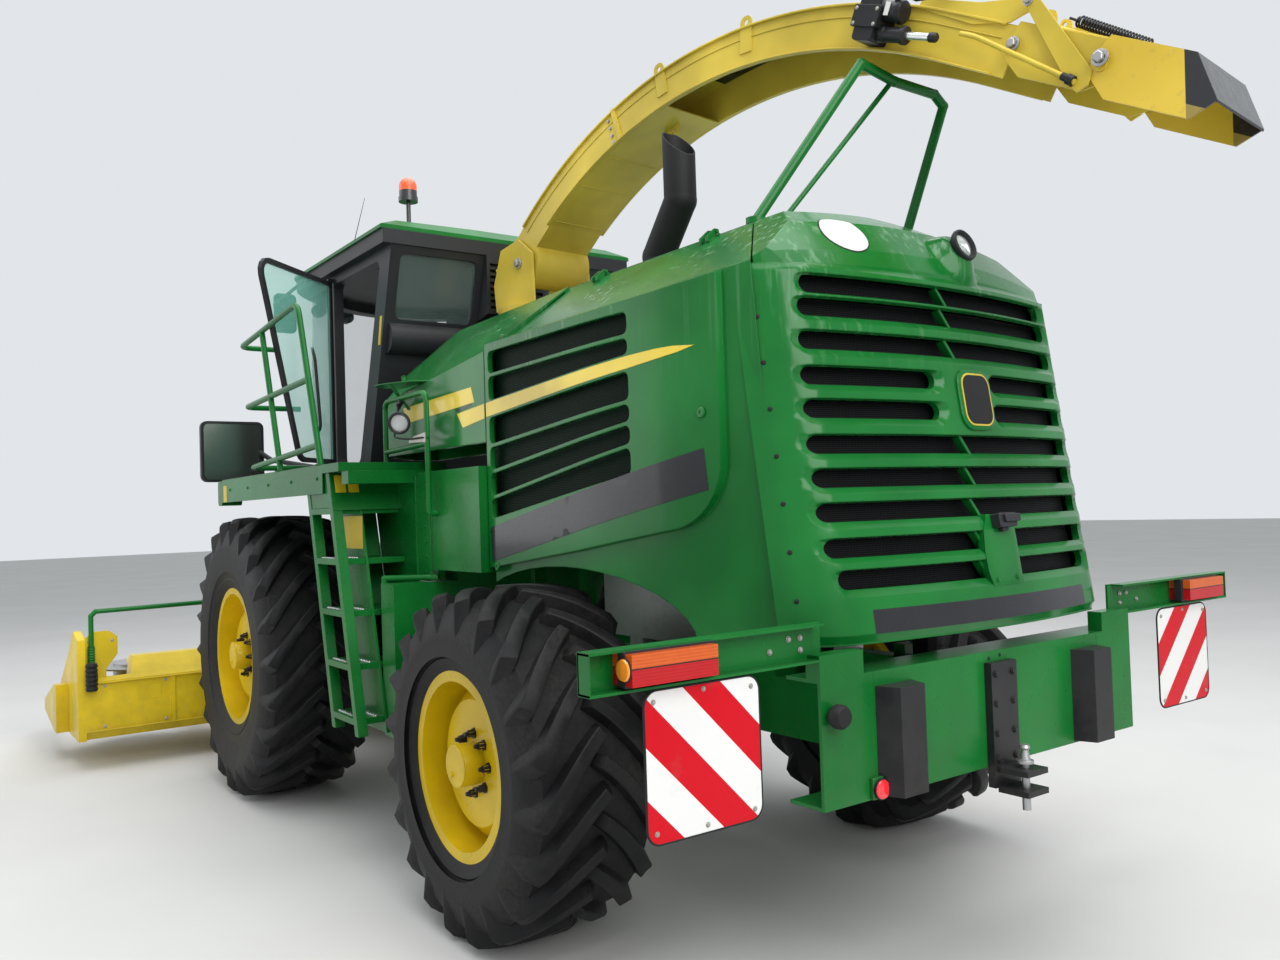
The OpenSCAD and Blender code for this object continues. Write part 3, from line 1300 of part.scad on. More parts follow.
module crop_drum(k) translate([drum_x, drum_y(k), drum_z]) difference() {
  union() {
    cylinder(r = drum_r, h = 14, $fn = 72);
    for (k = [1 : 3]) translate([0, 0, 120 * k - 30]) cylinder(r = drum_r - 30 * k, h = 12, $fn = 72);
    cylinder(r = 260, h = 360, $fn = 48);
  }
  translate([0, 0, -1]) cylinder(r = spindle_r + running, h = 260, $fn = 48);
}

module crop_drum_1() color(steel) placed() crop_drum(1);
module crop_drum_2() color(steel) placed() crop_drum(2);
module crop_drum_3() color(steel) placed() crop_drum(3);
module crop_drum_4() color(steel) placed() crop_drum(4);

// Door, drawn closed and turned open about its front hinge line

module door_place() translate([hinge_x, hinge_y, 0]) rotate(-door_open) translate([-hinge_x, -hinge_y, 0])
  children();

door_corner = [[hinge_x + 15, door_z[0]], [hinge_x + 15, door_z[1]], [-960, door_z[1]], [-540, door_z[0]]];
door_outline = concat([door_corner[0], door_corner[1]],
  corner(door_corner[1], door_corner[2], door_corner[3], 90),
  corner(door_corner[2], door_corner[3], door_corner[0], 90));

module door_frame() color(black) placed() door_place() difference() {
  side_plate(cab_y + 12, cab_y + 36) polygon(door_outline);
  side_plate(cab_y, cab_y + 50) polygon(inset_outline(door_outline, 30));
  translate([hinge_x, hinge_y, 0]) cylinder(r = door_pin_r + running, h = roof_z, $fn = 32);
}

// Moves each side of a convex outline in by d
function inset_outline(v, d) = let (n = len(v)) [for (i = [0 : n - 1])
  let (a = v[(i + n - 1) % n], b = v[i], c = v[(i + 1) % n],
       u = (b - a) / norm(b - a), w = (c - b) / norm(c - b), s = u.x * w.y - u.y * w.x)
  b + d * (w - u) / abs(s)];

module door_glass() color(glass) placed() door_place()
  side_plate(cab_y + 21, cab_y + 26) polygon(inset_outline(door_outline, 30 + clear));

chassis_frame();
front_axle();
rear_axle();
engine_block();
radiator();
chopper_housing();
hood_deck();
exhaust_pipe();
rear_bumper();
bumper_posts();
tow_hitch();
tail_lamps();
warning_panels();
platform();
ladder();
handrails();
side_boxes();
cab_shell();
cab_roof();
cab_windows();
seat();
steering_console();
mirrors();
work_lamps();
beacon();
spout_cradle();
spout_turret();
rear_hood();
side_panel_left();
side_panel_right();
door_frame();
door_glass();
spout_base();
spout_arc();
spout_motor();
deflector_inner();
deflector_end();
feeder_house();
header_frame();
header_guard();
crop_drum_1();
crop_drum_2();
crop_drum_3();
crop_drum_4();
front_rim_left();
front_rim_right();
front_tyre_left();
front_tyre_right();
rear_rim_left();
rear_rim_right();
rear_tyre_left();
rear_tyre_right();
knuckle_left();
knuckle_right();
tie_rod();
lift_barrels();
lift_rods();
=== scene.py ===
# %% [markdown]
# # A forage harvester, dressed for its portrait
#
# The packed model gives every piece its size, its place and the body that it moves with. This script
# gives the pieces their looks: smooth sheet metal over the plain hood, tyres with deep lugs, paint
# that has stood in the rain, and the small hardware that the photograph shows.
#
# Everything is in metres, in the frame of the packed model: X forwards, Y to the machine's left,
# Z up, and the ground at height 0.

# %% Load the packed model
import math

import bpy
import numpy as np
from mathutils import Matrix, Vector
from mathutils.bvhtree import BVHTree
from mathutils.geometry import delaunay_2d_cdt


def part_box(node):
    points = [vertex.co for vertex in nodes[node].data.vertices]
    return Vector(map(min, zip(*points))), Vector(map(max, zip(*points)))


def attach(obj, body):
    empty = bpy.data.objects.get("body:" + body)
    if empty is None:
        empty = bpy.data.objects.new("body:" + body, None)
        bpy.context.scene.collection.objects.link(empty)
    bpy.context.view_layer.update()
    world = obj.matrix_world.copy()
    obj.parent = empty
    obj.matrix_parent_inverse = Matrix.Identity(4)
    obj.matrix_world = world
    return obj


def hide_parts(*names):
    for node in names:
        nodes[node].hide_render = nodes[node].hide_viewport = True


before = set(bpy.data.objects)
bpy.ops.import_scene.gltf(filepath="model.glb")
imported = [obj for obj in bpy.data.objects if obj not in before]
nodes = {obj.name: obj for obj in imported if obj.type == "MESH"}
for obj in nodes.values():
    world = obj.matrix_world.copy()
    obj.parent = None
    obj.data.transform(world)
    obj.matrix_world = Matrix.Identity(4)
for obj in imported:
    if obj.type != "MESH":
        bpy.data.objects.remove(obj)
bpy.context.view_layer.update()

# %% [markdown]
# ## Places on the machine
#
# Drawings of a harvester measure from the front axle. The frame's origin lies under the middle of
# the whole machine instead, so one shift leads from drawing to frame.

# %% Shift from the front axle to the frame
X, Y, Z = np.eye(3)
SIDES = ((1, "left"), (-1, "right"))
AXLE_X = 0.5 * sum(corner.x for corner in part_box("front_rim_left"))


def at(x, y, z):
    """Point of the frame for a place measured from the front axle."""
    return np.array([x + AXLE_X, y, z], float)


def along_x(points):
    """Outline of (x, z) points measured from the front axle, with its X in the frame."""
    return [(x + AXLE_X, z) for x, z in points]


print("front axle at x", round(AXLE_X, 4))

# %% [markdown]
# ## Shapes from arrays
#
# A surface is a grid of points, and a grid turns into faces by joining each point to its next in
# both directions. A tube or a moulding is the same grid, with a profile carried along a path.

# %% Grids and sweeps


def grid(points, close_rows=False, close_columns=False):
    """Vertices and faces of a grid of points, given as an array of rows by columns by 3."""
    points = np.asarray(points, float)
    rows, columns = points.shape[:2]
    index = np.arange(rows * columns).reshape(rows, columns)
    if close_rows:
        index = np.vstack([index, index[:1]])
    if close_columns:
        index = np.hstack([index, index[:, :1]])
    quads = np.stack([index[:-1, :-1], index[:-1, 1:], index[1:, 1:], index[1:, :-1]], -1)
    return points.reshape(-1, 3), quads.reshape(-1, 4).tolist()


def unit(vectors):
    """Vectors at length 1."""
    vectors = np.asarray(vectors, float)
    return vectors / np.maximum(np.linalg.norm(vectors, axis=-1, keepdims=True), 1e-12)


def frames_along(path, up=(0, 0, 1), closed=False):
    """Two directions across the path at each of its points, the second as near to `up` as it can be."""
    path = np.asarray(path, float)
    if closed:
        run = np.roll(path, -1, 0) - np.roll(path, 1, 0)
    else:
        run = np.gradient(path, axis=0)
    run = unit(run)
    up = np.asarray(up, float)
    across = np.cross(up, run)
    weak = np.linalg.norm(across, axis=1) < 0.05
    across[weak] = np.cross((0.3, 1, 0.1), run[weak])
    across = unit(across)
    for i in range(1, len(across)):
        if np.dot(across[i], across[i - 1]) < 0:
            across[i] *= -1
    return across, np.cross(run, across)


def sweep(path, profile, up=(0, 0, 1), closed=False, scale=None):
    """A profile of (across, up) points carried along a path, with its ends capped."""
    path = np.asarray(path, float)
    profile = np.asarray(profile, float)
    across, rise = frames_along(path, up, closed)
    size = np.ones(len(path)) if scale is None else np.asarray(scale, float)
    points = (
        path[:, None]
        + size[:, None, None] * profile[None, :, :1] * across[:, None]
        + size[:, None, None] * profile[None, :, 1:] * rise[:, None]
    )
    vertices, faces = grid(points, close_rows=closed, close_columns=True)
    if not closed:
        n = len(profile)
        faces.append(list(range(n))[::-1])
        faces.append([len(vertices) - n + i for i in range(n)])
    return vertices, faces


print("a grid of 2 by 3 points has", len(grid(np.zeros((2, 3, 3)))[1]), "faces")

# %% [markdown]
# Rails, hoses and wires are bent from straight tube or drawn through clips. A Bezier curve with a
# bevel would show the same, but a path of computed points can start exactly where another piece ends.

# %% Circles and bent paths


def circle(radius, sides=12):
    """Points of a circle, for a profile."""
    a = np.arange(sides) * 2 * math.pi / sides
    return radius * np.stack([np.cos(a), np.sin(a)], -1)


def smooth_path(points, step=0.03):
    """A path through the given points, bent smoothly: a Catmull-Rom curve sampled every `step`."""
    p = np.asarray(points, float)
    p = np.vstack([2 * p[0] - p[1], p, 2 * p[-1] - p[-2]])
    out = []
    for a, b, c, d in zip(p[:-3], p[1:-2], p[2:-1], p[3:]):
        n = max(2, int(np.linalg.norm(c - b) / step))
        t = np.linspace(0, 1, n, endpoint=False)[:, None]
        out.append(0.5 * (2 * b + (c - a) * t + (2 * a - 5 * b + 4 * c - d) * t**2
                          + (3 * b - a - 3 * c + d) * t**3))
    return np.vstack(out + [p[-2:-1]])


def rounded_path(points, radius, steps=5):
    """A path of straight runs whose corners are rounded by short arcs."""
    p = np.asarray(points, float)
    out = [p[0]]
    for a, b, c in zip(p[:-2], p[1:-1], p[2:]):
        u, v = a - b, c - b
        cut = min(radius, 0.45 * np.linalg.norm(u), 0.45 * np.linalg.norm(v))
        s, e = b + unit(u) * cut, b + unit(v) * cut
        t = np.linspace(0, 1, steps)[:, None]
        out.extend((1 - t) ** 2 * s + 2 * t * (1 - t) * b + t**2 * e)
    out.append(p[-1])
    return np.array(out)


print("a corner rounded in", len(rounded_path([(0, 0, 0), (1, 0, 0), (1, 1, 0)], 0.1)), "points")

# %% [markdown]
# Nuts, lamps and pins are turned on a lathe, and brackets are cut from plate. So one function turns a
# profile about an axis, and another gives a flat outline its thickness. A primitive with modifiers
# could do it too, but here each measure stands in the outline that it belongs to.

# %% Turned shapes and plates


def turned(profile, middle, axis, steps=64):
    """A surface of revolution: (distance from the axis, place along it) points turned about it."""
    axis = unit(axis)
    side = unit(np.cross(axis, (0.31, 0.2, 0.93)))
    other = np.cross(axis, side)
    a = np.linspace(0, 2 * math.pi, steps, endpoint=False)
    ring = np.cos(a)[:, None] * side + np.sin(a)[:, None] * other
    profile = np.asarray(profile, float)
    points = (np.asarray(middle, float) + profile[None, :, :1] * ring[:, None]
              + profile[None, :, 1:] * axis)
    return grid(points, close_rows=True)


def slab(outline, thick, place):
    """A flat plate: an outline of 2-D points, a thickness, and a rule that places (a, b, depth)."""
    n = len(outline)
    vertices = [place(a, b, 0.0) for a, b in outline] + [place(a, b, thick) for a, b in outline]
    faces = [[i, (i + 1) % n, n + (i + 1) % n, n + i] for i in range(n)]
    return np.array(vertices), faces + [list(range(n))[::-1], list(range(n, 2 * n))]


def outward(shape, direction):
    """The shape with its faces turned so that most look along a direction."""
    vertices, faces = shape
    sign = 0.0
    for f in faces[:: max(1, len(faces) // 200)]:
        a, b, c = vertices[f[0]], vertices[f[1]], vertices[f[2]]
        sign += np.dot(np.cross(b - a, c - b), direction)
    return shape if sign > 0 else (vertices, [f[::-1] for f in faces])


def to_rear(outline, x, thick):
    """A plate with its outline over (y, z), growing backwards from x."""
    return outward(slab(outline, thick, lambda a, b, d: (x - d, a, b)), -X)


def to_left(outline, y, thick):
    """A plate with its outline over (x, z), growing to the left from y."""
    return outward(slab(outline, thick, lambda a, b, d: (a, y + d, b)), Y)


def to_top(outline, z, thick):
    """A plate with its outline over (x, y), growing upwards from z."""
    return outward(slab(outline, thick, lambda a, b, d: (a, b, z + d)), Z)


def brick(low, high):
    """A block between two corners."""
    low, high = np.asarray(low, float), np.asarray(high, float)
    corner = [(low[0], low[1]), (high[0], low[1]), (high[0], high[1]), (low[0], high[1])]
    return slab(corner, high[2] - low[2], lambda a, b, d: (a, b, low[2] + d))


print("a block has", len(brick((0, 0, 0), (1, 1, 1))[1]), "faces")

# %% [markdown]
# Each piece of the scene is one object. It gets a material, and the body of the packed model that
# carries it, so it moves when a joint moves. The slot under which the library files that material is
# not kept.

# %% Pieces of the scene


def join(parts):
    """Several shapes as one."""
    vertices, faces, start = [], [], 0
    for v, f in parts:
        vertices.append(np.asarray(v, float))
        faces.extend([[i + start for i in face] for face in f])
        start += len(v)
    return np.vstack(vertices), faces


slot_of = {}    # the library's slot for each material, filled below where the materials are made


def piece(name, parts, material, body="root", slot=None, replaces=(), sharp=35, bevel=0.0):
    """One object of the scene: its mesh, its material, and the body that carries it. Its slot is not
    kept.
    """
    vertices, faces = join(parts if isinstance(parts, list) else [parts])
    mesh = bpy.data.meshes.new(name)
    mesh.from_pydata(vertices.tolist(), [], faces)
    mesh.validate()
    mesh.update()
    thing = bpy.data.objects.new(name, mesh)
    bpy.context.scene.collection.objects.link(thing)
    mesh.materials.append(material)
    if bevel:
        rounding = thing.modifiers.new("edges", "BEVEL")
        rounding.width = bevel
        rounding.segments = 2
        rounding.limit_method = "ANGLE"
        rounding.angle_limit = math.radians(sharp)
    mesh.shade_smooth()
    mesh.set_sharp_from_angle(angle=math.radians(sharp))
    if replaces:
        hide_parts(*replaces)
    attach(thing, body)
    slot or slot_of[material]


print("two blocks joined have", len(join([brick((0, 0, 0), (1, 1, 1))] * 2)[1]), "faces")

# %% [markdown]
# ## Sheet metal
#
# A panel is cut flat first and pressed afterwards. Its outline, its holes and its creases lie in a
# plane, a triangulation fills what is left between them, and a rule then lifts each flat point to its
# place in space. Cutting holes with a Boolean would leave long thin faces that shade badly on a bowed
# sheet. Here all faces have about the same size, and they keep to the creases.

# %% Panels that are cut and then pressed


def resample(loop, step):
    """A closed loop with its points no more than `step` apart, its corners kept."""
    out = []
    loop = np.asarray(loop, float)
    for a, b in zip(loop, np.roll(loop, -1, 0)):
        n = max(1, int(math.ceil(np.linalg.norm(b - a) / step)))
        out.extend(a + (b - a) * k / n for k in range(n))
    return np.array(out)


def inside(points, loop):
    """Which points lie inside a loop, by counting the edges to the right of each."""
    x, y = points[:, :1], points[:, 1:]
    a, b = np.asarray(loop), np.roll(loop, -1, 0)
    crosses = (a[:, 1] > y) != (b[:, 1] > y)
    reach = a[:, 0] + (y - a[:, 1]) * (b[:, 0] - a[:, 0]) / (b[:, 1] - a[:, 1] + 1e-15)
    return (crosses & (x < reach)).sum(1) % 2 == 1


def edge_distance(points, loop):
    """Distance from each point to the nearest edge of a loop."""
    a, b = np.asarray(loop), np.roll(loop, -1, 0)
    d = b - a
    t = ((points[:, None] - a) * d).sum(-1) / np.maximum((d * d).sum(-1), 1e-15)
    near = a + np.clip(t, 0, 1)[..., None] * d
    return np.linalg.norm(points[:, None] - near, axis=-1).min(1)


def pressed(outline, holes, step, lift, creases=()):
    """A sheet from a flat outline with holes and creases: a triangulation, lifted point by point."""
    loops = [resample(outline, step)] + [resample(h, step) for h in holes]
    low, high = loops[0].min(0), loops[0].max(0)
    a, b = np.meshgrid(*(np.arange(*ends, step) for ends in zip(low, high)), indexing="ij")
    a[:, ::2] += 0.5 * step
    field = np.stack([a.ravel(), b.ravel()], -1)
    keep = inside(field, loops[0]) & (edge_distance(field, loops[0]) > 0.45 * step)
    for h in loops[1:]:
        keep &= ~inside(field, h) & (edge_distance(field, h) > 0.45 * step)
    folds = [resample(c, step) for c in creases]
    for fold in folds:
        keep &= edge_distance(field, fold) > 0.45 * step
    flat = np.vstack(loops + folds + [field[keep]])
    edges, start = [], 0
    for h in loops + folds:
        edges += [(start + i, start + (i + 1) % len(h)) for i in range(len(h))]
        start += len(h)
    points, _, triangles, *_ = delaunay_2d_cdt([Vector(p) for p in flat], edges, [], 0, 1e-9)
    points = np.array([tuple(p) for p in points])
    triangles = np.array(triangles)
    middle = points[triangles].mean(1)
    good = inside(middle, loops[0])
    for h in loops[1:]:
        good &= ~inside(middle, h)
    return lift(points), triangles[good].tolist()


def rounded_box(x0, x1, y0, y1, r, steps=5):
    """Outline of a rectangle with round corners."""
    middles = ((x1 - r, y1 - r), (x0 + r, y1 - r), (x0 + r, y0 + r), (x1 - r, y0 + r))
    out = []
    for quarter, (cx, cy) in enumerate(middles):
        for k in range(steps + 1):
            a = math.radians(90 * quarter + 90 * k / steps)
            out.append((cx + r * math.cos(a), cy + r * math.sin(a)))
    return out


def ramp(value, low, high):
    """0 below `low`, 1 above `high`, and an S-shaped rise between them."""
    t = np.clip((np.asarray(value, float) - low) / (high - low), 0, 1)
    return t * t * (3 - 2 * t)


print("a rounded rectangle has", len(rounded_box(0, 1, 0, 1, 0.1)), "points")

# %% [markdown]
# ## Shader arithmetic
#
# A shader is a field of numbers over the surface. Written as ordinary arithmetic, each plus or times
# adds one Math node, so that the recipe of a material reads as a formula.

# %% A field of numbers on a surface


class Field:
    """A number that varies over a surface. Arithmetic on it adds Math nodes to its node tree."""

    def __init__(self, tree, socket):
        self.tree, self.socket = tree, socket

    def node(self, kind, operation, *values):
        """A node with its inputs linked to fields or set to constants."""
        made = self.tree.nodes.new(kind)
        made.operation = operation
        for slot, value in zip(made.inputs, values):
            if isinstance(value, Field):
                self.tree.links.new(value.socket, slot)
            else:
                slot.default_value = value
        return made

    def math(self, operation, *others):
        """One Math node on this field and others."""
        return Field(self.tree, self.node("ShaderNodeMath", operation, self, *others).outputs[0])

    def __add__(self, other):
        return self.math("ADD", other)

    def __sub__(self, other):
        return self.math("SUBTRACT", other)

    def __rsub__(self, other):
        return self.math("MULTIPLY", -1.0).math("ADD", other)

    def __mul__(self, other):
        return self.math("MULTIPLY", other)

    __radd__, __rmul__ = __add__, __mul__

    def __abs__(self):
        return self.math("ABSOLUTE")

    def limit(self):
        """The field cut off below 0 and above 1."""
        return self.math("MAXIMUM", 0.0).math("MINIMUM", 1.0)

    def rise(self, low, high):
        """0 below `low`, 1 above `high`, straight between them."""
        return ((self - low) * (1.0 / (high - low))).limit()

    def over(self, level):
        """1 where the field is above a level, otherwise 0."""
        return self.math("GREATER_THAN", level)

    def under(self, level):
        """1 where the field is below a level, otherwise 0."""
        return self.math("LESS_THAN", level)


print("besides arithmetic, a field knows:", [k for k in vars(Field) if not k.startswith("_")])

# %% [markdown]
# Object coordinates are in metres on the machine itself, so a splash or a scratch has its true size
# and needs no unwrapped image. The class below feeds them to one Principled shader.

# %% A material made of fields


class Material:
    """A node material with one Principled shader, and fields over Object coordinates to feed it."""

    def __init__(self, name, color, rough, metal=0.0, coat=0.0, specular=0.5):
        self.made = bpy.data.materials.new(name)
        self.made.use_nodes = True
        self.tree = self.made.node_tree
        self.shader = self.tree.nodes["Principled BSDF"]
        self.set("Base Color", (*color, 1.0))
        self.set("Roughness", rough)
        self.set("Metallic", metal)
        self.set("Coat Weight", coat)
        self.set("Coat Roughness", 0.08)
        self.set("Specular IOR Level", specular)
        self.place = self.tree.nodes.new("ShaderNodeTexCoord").outputs["Object"]
        parts = self.tree.nodes.new("ShaderNodeSeparateXYZ")
        self.tree.links.new(self.place, parts.inputs[0])
        self.x, self.y, self.z = (Field(self.tree, parts.outputs[i]) for i in range(3))

    def set(self, socket, value):
        """A constant goes onto the socket itself, and a field is linked to it."""
        if isinstance(value, Field):
            self.tree.links.new(value.socket, self.shader.inputs[socket])
        else:
            self.shader.inputs[socket].default_value = value

    def noise(self, scale, detail=4.0, stretch=(1, 1, 1), rough=0.55):
        """Cloudy noise, `scale` cells to the metre, drawn out along an axis by a small stretch."""
        mapping = self.tree.nodes.new("ShaderNodeMapping")
        mapping.inputs["Scale"].default_value = stretch
        self.tree.links.new(self.place, mapping.inputs[0])
        made = self.tree.nodes.new("ShaderNodeTexNoise")
        made.inputs["Scale"].default_value = scale
        made.inputs["Detail"].default_value = detail
        made.inputs["Roughness"].default_value = rough
        self.tree.links.new(mapping.outputs[0], made.inputs["Vector"])
        return Field(self.tree, made.outputs[0])

    def cells(self, scale):
        """Distance to the borders between random cells."""
        made = self.tree.nodes.new("ShaderNodeTexVoronoi")
        made.feature = "DISTANCE_TO_EDGE"
        made.inputs["Scale"].default_value = scale
        self.tree.links.new(self.place, made.inputs["Vector"])
        return Field(self.tree, made.outputs[0])

    def facing_up(self):
        """How far the surface faces up: the Z part of its direction."""
        shape = self.tree.nodes.new("ShaderNodeNewGeometry")
        parts = self.tree.nodes.new("ShaderNodeSeparateXYZ")
        self.tree.links.new(shape.outputs["Normal"], parts.inputs[0])
        return Field(self.tree, parts.outputs["Z"])

    def mix(self, factor, first, second):
        """Two colours mixed by a field."""
        made = self.tree.nodes.new("ShaderNodeMix")
        made.data_type = "RGBA"
        for socket, value in ((0, factor), (6, first), (7, second)):
            if isinstance(value, Field):
                self.tree.links.new(value.socket, made.inputs[socket])
            else:
                made.inputs[socket].default_value = (*value, 1.0)
        return Field(self.tree, made.outputs[2])

    def bump(self, height, distance, edges=0.0):
        """A relief: `height` scaled to `distance` metres, over edges rounded by `edges` metres."""
        made = self.tree.nodes.new("ShaderNodeBump")
        made.inputs["Distance"].default_value = distance
        made.inputs["Strength"].default_value = 1.0
        self.tree.links.new(height.socket, made.inputs["Height"])
        if edges:
            self.tree.links.new(self.rounding(edges), made.inputs["Normal"])
        self.tree.links.new(made.outputs[0], self.shader.inputs["Normal"])

    def rounding(self, radius):
        """The surface's direction as if its edges were rounded."""
        made = self.tree.nodes.new("ShaderNodeBevel")
        made.samples = 3
        made.inputs["Radius"].default_value = radius
        return made.outputs[0]

    def edges(self, radius):
        """How near an edge is: 0 on the flat, up to 1 where a rounded edge would turn away."""
        shape = self.tree.nodes.new("ShaderNodeNewGeometry")
        product = self.tree.nodes.new("ShaderNodeVectorMath")
        product.operation = "DOT_PRODUCT"
        self.tree.links.new(self.rounding(radius), product.inputs[0])
        self.tree.links.new(shape.outputs["Normal"], product.inputs[1])
        return 1.0 - Field(self.tree, product.outputs["Value"])


print("a material knows:", [k for k in vars(Material) if not k.startswith("_")])

# %% [markdown]
# ## Paint that has stood outside
#
# Sprayed enamel is glossy, but it has a faint orange-peel relief. Rain has run down the sides and
# dried in pale streaks, dust has gathered on what faces up, and mud has splashed what is low. A
# painted image could show all that, but it would fit one panel only. Fields over Object coordinates
# fit every panel at once. Each layer is one field, and each moves the colour and the gloss together.

# %% Painted metal


def painted(name, color, rough=0.28, coat=0.1, dust=0.35, streaks=0.0, mud=0.5, wear=0.25, edge=0.003):
    """Enamel with dust on top, dried runs down its sides, splashes below and worn edges."""
    m = Material(name, color, rough, coat=coat, specular=0.22)
    clouds = m.noise(1.7, 3)
    fine = m.noise(38, 4)
    up = m.facing_up().rise(0.35, 0.95)
    settled = up * (m.noise(6, 5).rise(0.3, 0.75) * 0.7 + 0.3) * dust
    shade = tuple(0.72 * c for c in color)
    lit = tuple(min(1.0, 1.12 * c + 0.006) for c in color)
    out = m.mix(clouds.rise(0.35, 0.7), shade, lit)
    if streaks:
        runs = m.noise(34, 3, (1, 1, 0.03)).rise(0.54, 0.70) * m.noise(2.6, 2).rise(0.40, 0.62)
        runs = runs * m.z.rise(2.15, 2.72) * streaks
        out = m.mix(runs, out, (0.17, 0.36, 0.19))
        settled = settled + runs * 0.4
    out = m.mix(settled.limit(), out, tuple(0.55 * c + 0.13 for c in color))
    low = m.z.rise(0.1, 1.15)
    splash = (1.0 - low) * m.noise(14, 6, rough=0.7).rise(0.42, 0.75) * mud
    out = m.mix(splash.limit(), out, (0.105, 0.09, 0.07))
    worn = m.edges(edge * 1.6).rise(0.05, 0.35) * fine.rise(0.45, 0.65) * wear
    out = m.mix(worn.limit(), out, tuple(0.5 * c + 0.10 for c in color))
    m.set("Base Color", out)
    rougher = settled * 0.30 + splash * 0.45 + worn * 0.2 + fine * 0.06
    m.set("Roughness", (rougher + rough - 0.03).limit())
    m.set("Coat Weight", ((1.0 - settled.limit()) * (1.0 - splash.limit()) * coat).limit())
    m.bump(m.noise(210, 2), 0.00018, edge)
    return m.made


GREEN = (0.002, 0.150, 0.020)
green = painted("green enamel", GREEN, coat=0.06, dust=0.08)
green_hood = painted("green hood", GREEN, 0.20, coat=0.12, streaks=0.8, dust=0.10, wear=0.05,
                     edge=0.008)
yellow = painted("yellow spout enamel", (0.70, 0.53, 0.060), 0.36, dust=0.2, wear=0.45, mud=0.2)
rim_yellow = painted("yellow rim enamel", (0.72, 0.50, 0.003), dust=0.05, wear=0.2, mud=0.12)
header_yellow = painted("yellow header enamel", (0.76, 0.55, 0.012), 0.34, dust=0.1, wear=0.5, mud=0.3)
black = painted("black enamel", (0.012, 0.012, 0.014), 0.42, coat=0.15, dust=0.15)
soot = painted("exhaust black", (0.012, 0.012, 0.013), 0.6, coat=0.0, dust=0.2)
film = dict(coat=0.4, dust=0.05, wear=0.0, mud=0.0)
yellow_film = painted("yellow stripe film", (0.80, 0.60, 0.05), 0.30, **film)
black_film = painted("black band film", (0.010, 0.010, 0.014), **film)
print("paints:", len(bpy.data.materials))

# %% [markdown]
# ## Rubber, plastic, glass and lamps
#
# The other finishes are recipes in the same arithmetic. Rubber and plastic differ by their grain,
# metal by its dull patches. Glass is a thin sheet whose Alpha lets the light through, because the
# panes have no thickness that a refracting shader could use.

# %% Rubber, plastic, glass and metal


def rubber_material():
    """Tyre rubber: nearly black, dusty in patches, and glossier between the patches."""
    m = Material("tyre rubber", (0.012, 0.012, 0.013), 0.5, specular=0.2)
    patches, fine = m.noise(5, 5), m.noise(60, 5)
    dusty = patches.rise(0.42, 0.7) * fine.rise(0.3, 0.8)
    m.set("Base Color", m.mix(dusty, (0.008, 0.008, 0.009), (0.034, 0.032, 0.029)))
    m.set("Roughness", patches * 0.35 + 0.38)
    m.bump(fine * 0.6 + m.noise(220, 3) * 0.4, 0.0012)
    return m.made


def plastic(name, color, rough=0.45, grain=0.0004, dust=0.3):
    """Moulded plastic with a fine grain and dust on top."""
    m = Material(name, color, rough, specular=0.25)
    settled = m.facing_up().rise(0.3, 0.95) * m.noise(9, 5).rise(0.3, 0.8) * dust
    darker, lighter = (tuple(part * c for c in color) for part in (0.8, 1.15))
    out = m.mix(m.noise(3, 3).rise(0.3, 0.7), darker, lighter)
    m.set("Base Color", m.mix(settled, out, (0.2, 0.19, 0.17)))
    m.set("Roughness", (settled * 0.3 + rough).limit())
    m.bump(m.noise(320, 2), grain, 0.003)
    return m.made


def glass(name, color, alpha):
    """Thin tinted glass: a clear sheet that keeps its gloss."""
    m = Material(name, color, 0.03, specular=0.6)
    smear = m.noise(1.5, 3).rise(0.45, 0.8)
    m.set("Alpha", (smear * 0.04 + alpha).limit())
    m.set("Roughness", smear * 0.03 + 0.03)
    return m.made


def lens(name, color, glow):
    """A coloured reflector: clear plastic, clouded a little, with a painted glow from a weak emission.
    """
    m = Material(name, color, 0.12, coat=0.6)
    m.set("Base Color", m.mix(m.noise(30, 2) * 0.2 + 0.4, color,
                              tuple(min(1, 1.6 * c + 0.02) for c in color)))
    # The emission is a painted glow: the reflector gives no light of its own.
    m.set("Emission Color", (*color, 1.0))
    m.set("Emission Strength", glow)
    return m.made


def metal(name, color, rough=0.35, rust=0.2):
    """Bare or plated steel, dulled in patches."""
    m = Material(name, color, rough, metal=0.9)
    dull = m.noise(22, 5).rise(0.5, 0.75) * rust
    m.set("Base Color", m.mix(dull, color, (0.16, 0.085, 0.04)))
    m.set("Metallic", 0.9 - dull * 0.8)
    m.set("Roughness", (dull * 0.5 + m.noise(90, 3) * 0.12 + rough).limit())
    m.bump(m.noise(120, 3), 0.0003, 0.002)
    return m.made


rubber = rubber_material()
black_plastic = plastic("black plastic", (0.022, 0.023, 0.026))
trim_rubber = plastic("rubber trim", (0.012, 0.012, 0.013), 0.6, 0.0002, 0.15)
seat_cloth = plastic("seat cloth", (0.035, 0.036, 0.04), 0.9, 0.001, 0.1)
cab_glass = glass("cab glass", (0.16, 0.24, 0.22), 0.20)
door_glass = glass("door glass", (0.28, 0.72, 0.60), 0.34)
lamp_glass = glass("lamp glass", (0.8, 0.84, 0.86), 0.35)
mirror_glass = metal("mirror face", (0.20, 0.21, 0.19), 0.07, 0.0)
# The last number of each reflector is its painted glow.
amber = lens("amber reflector", (0.85, 0.22, 0.01), 0.05)
red_reflector = lens("red reflector", (0.75, 0.01, 0.02), 0.10)
white_plate = plastic("blank white plate", (0.72, 0.72, 0.70), 0.3, 0.0001, 0.1)
warning_yellow = plastic("blank yellow label", (0.72, 0.52, 0.02), 0.35, 0.0001, 0.1)
steel = metal("worn steel", (0.42, 0.42, 0.43), 0.34)
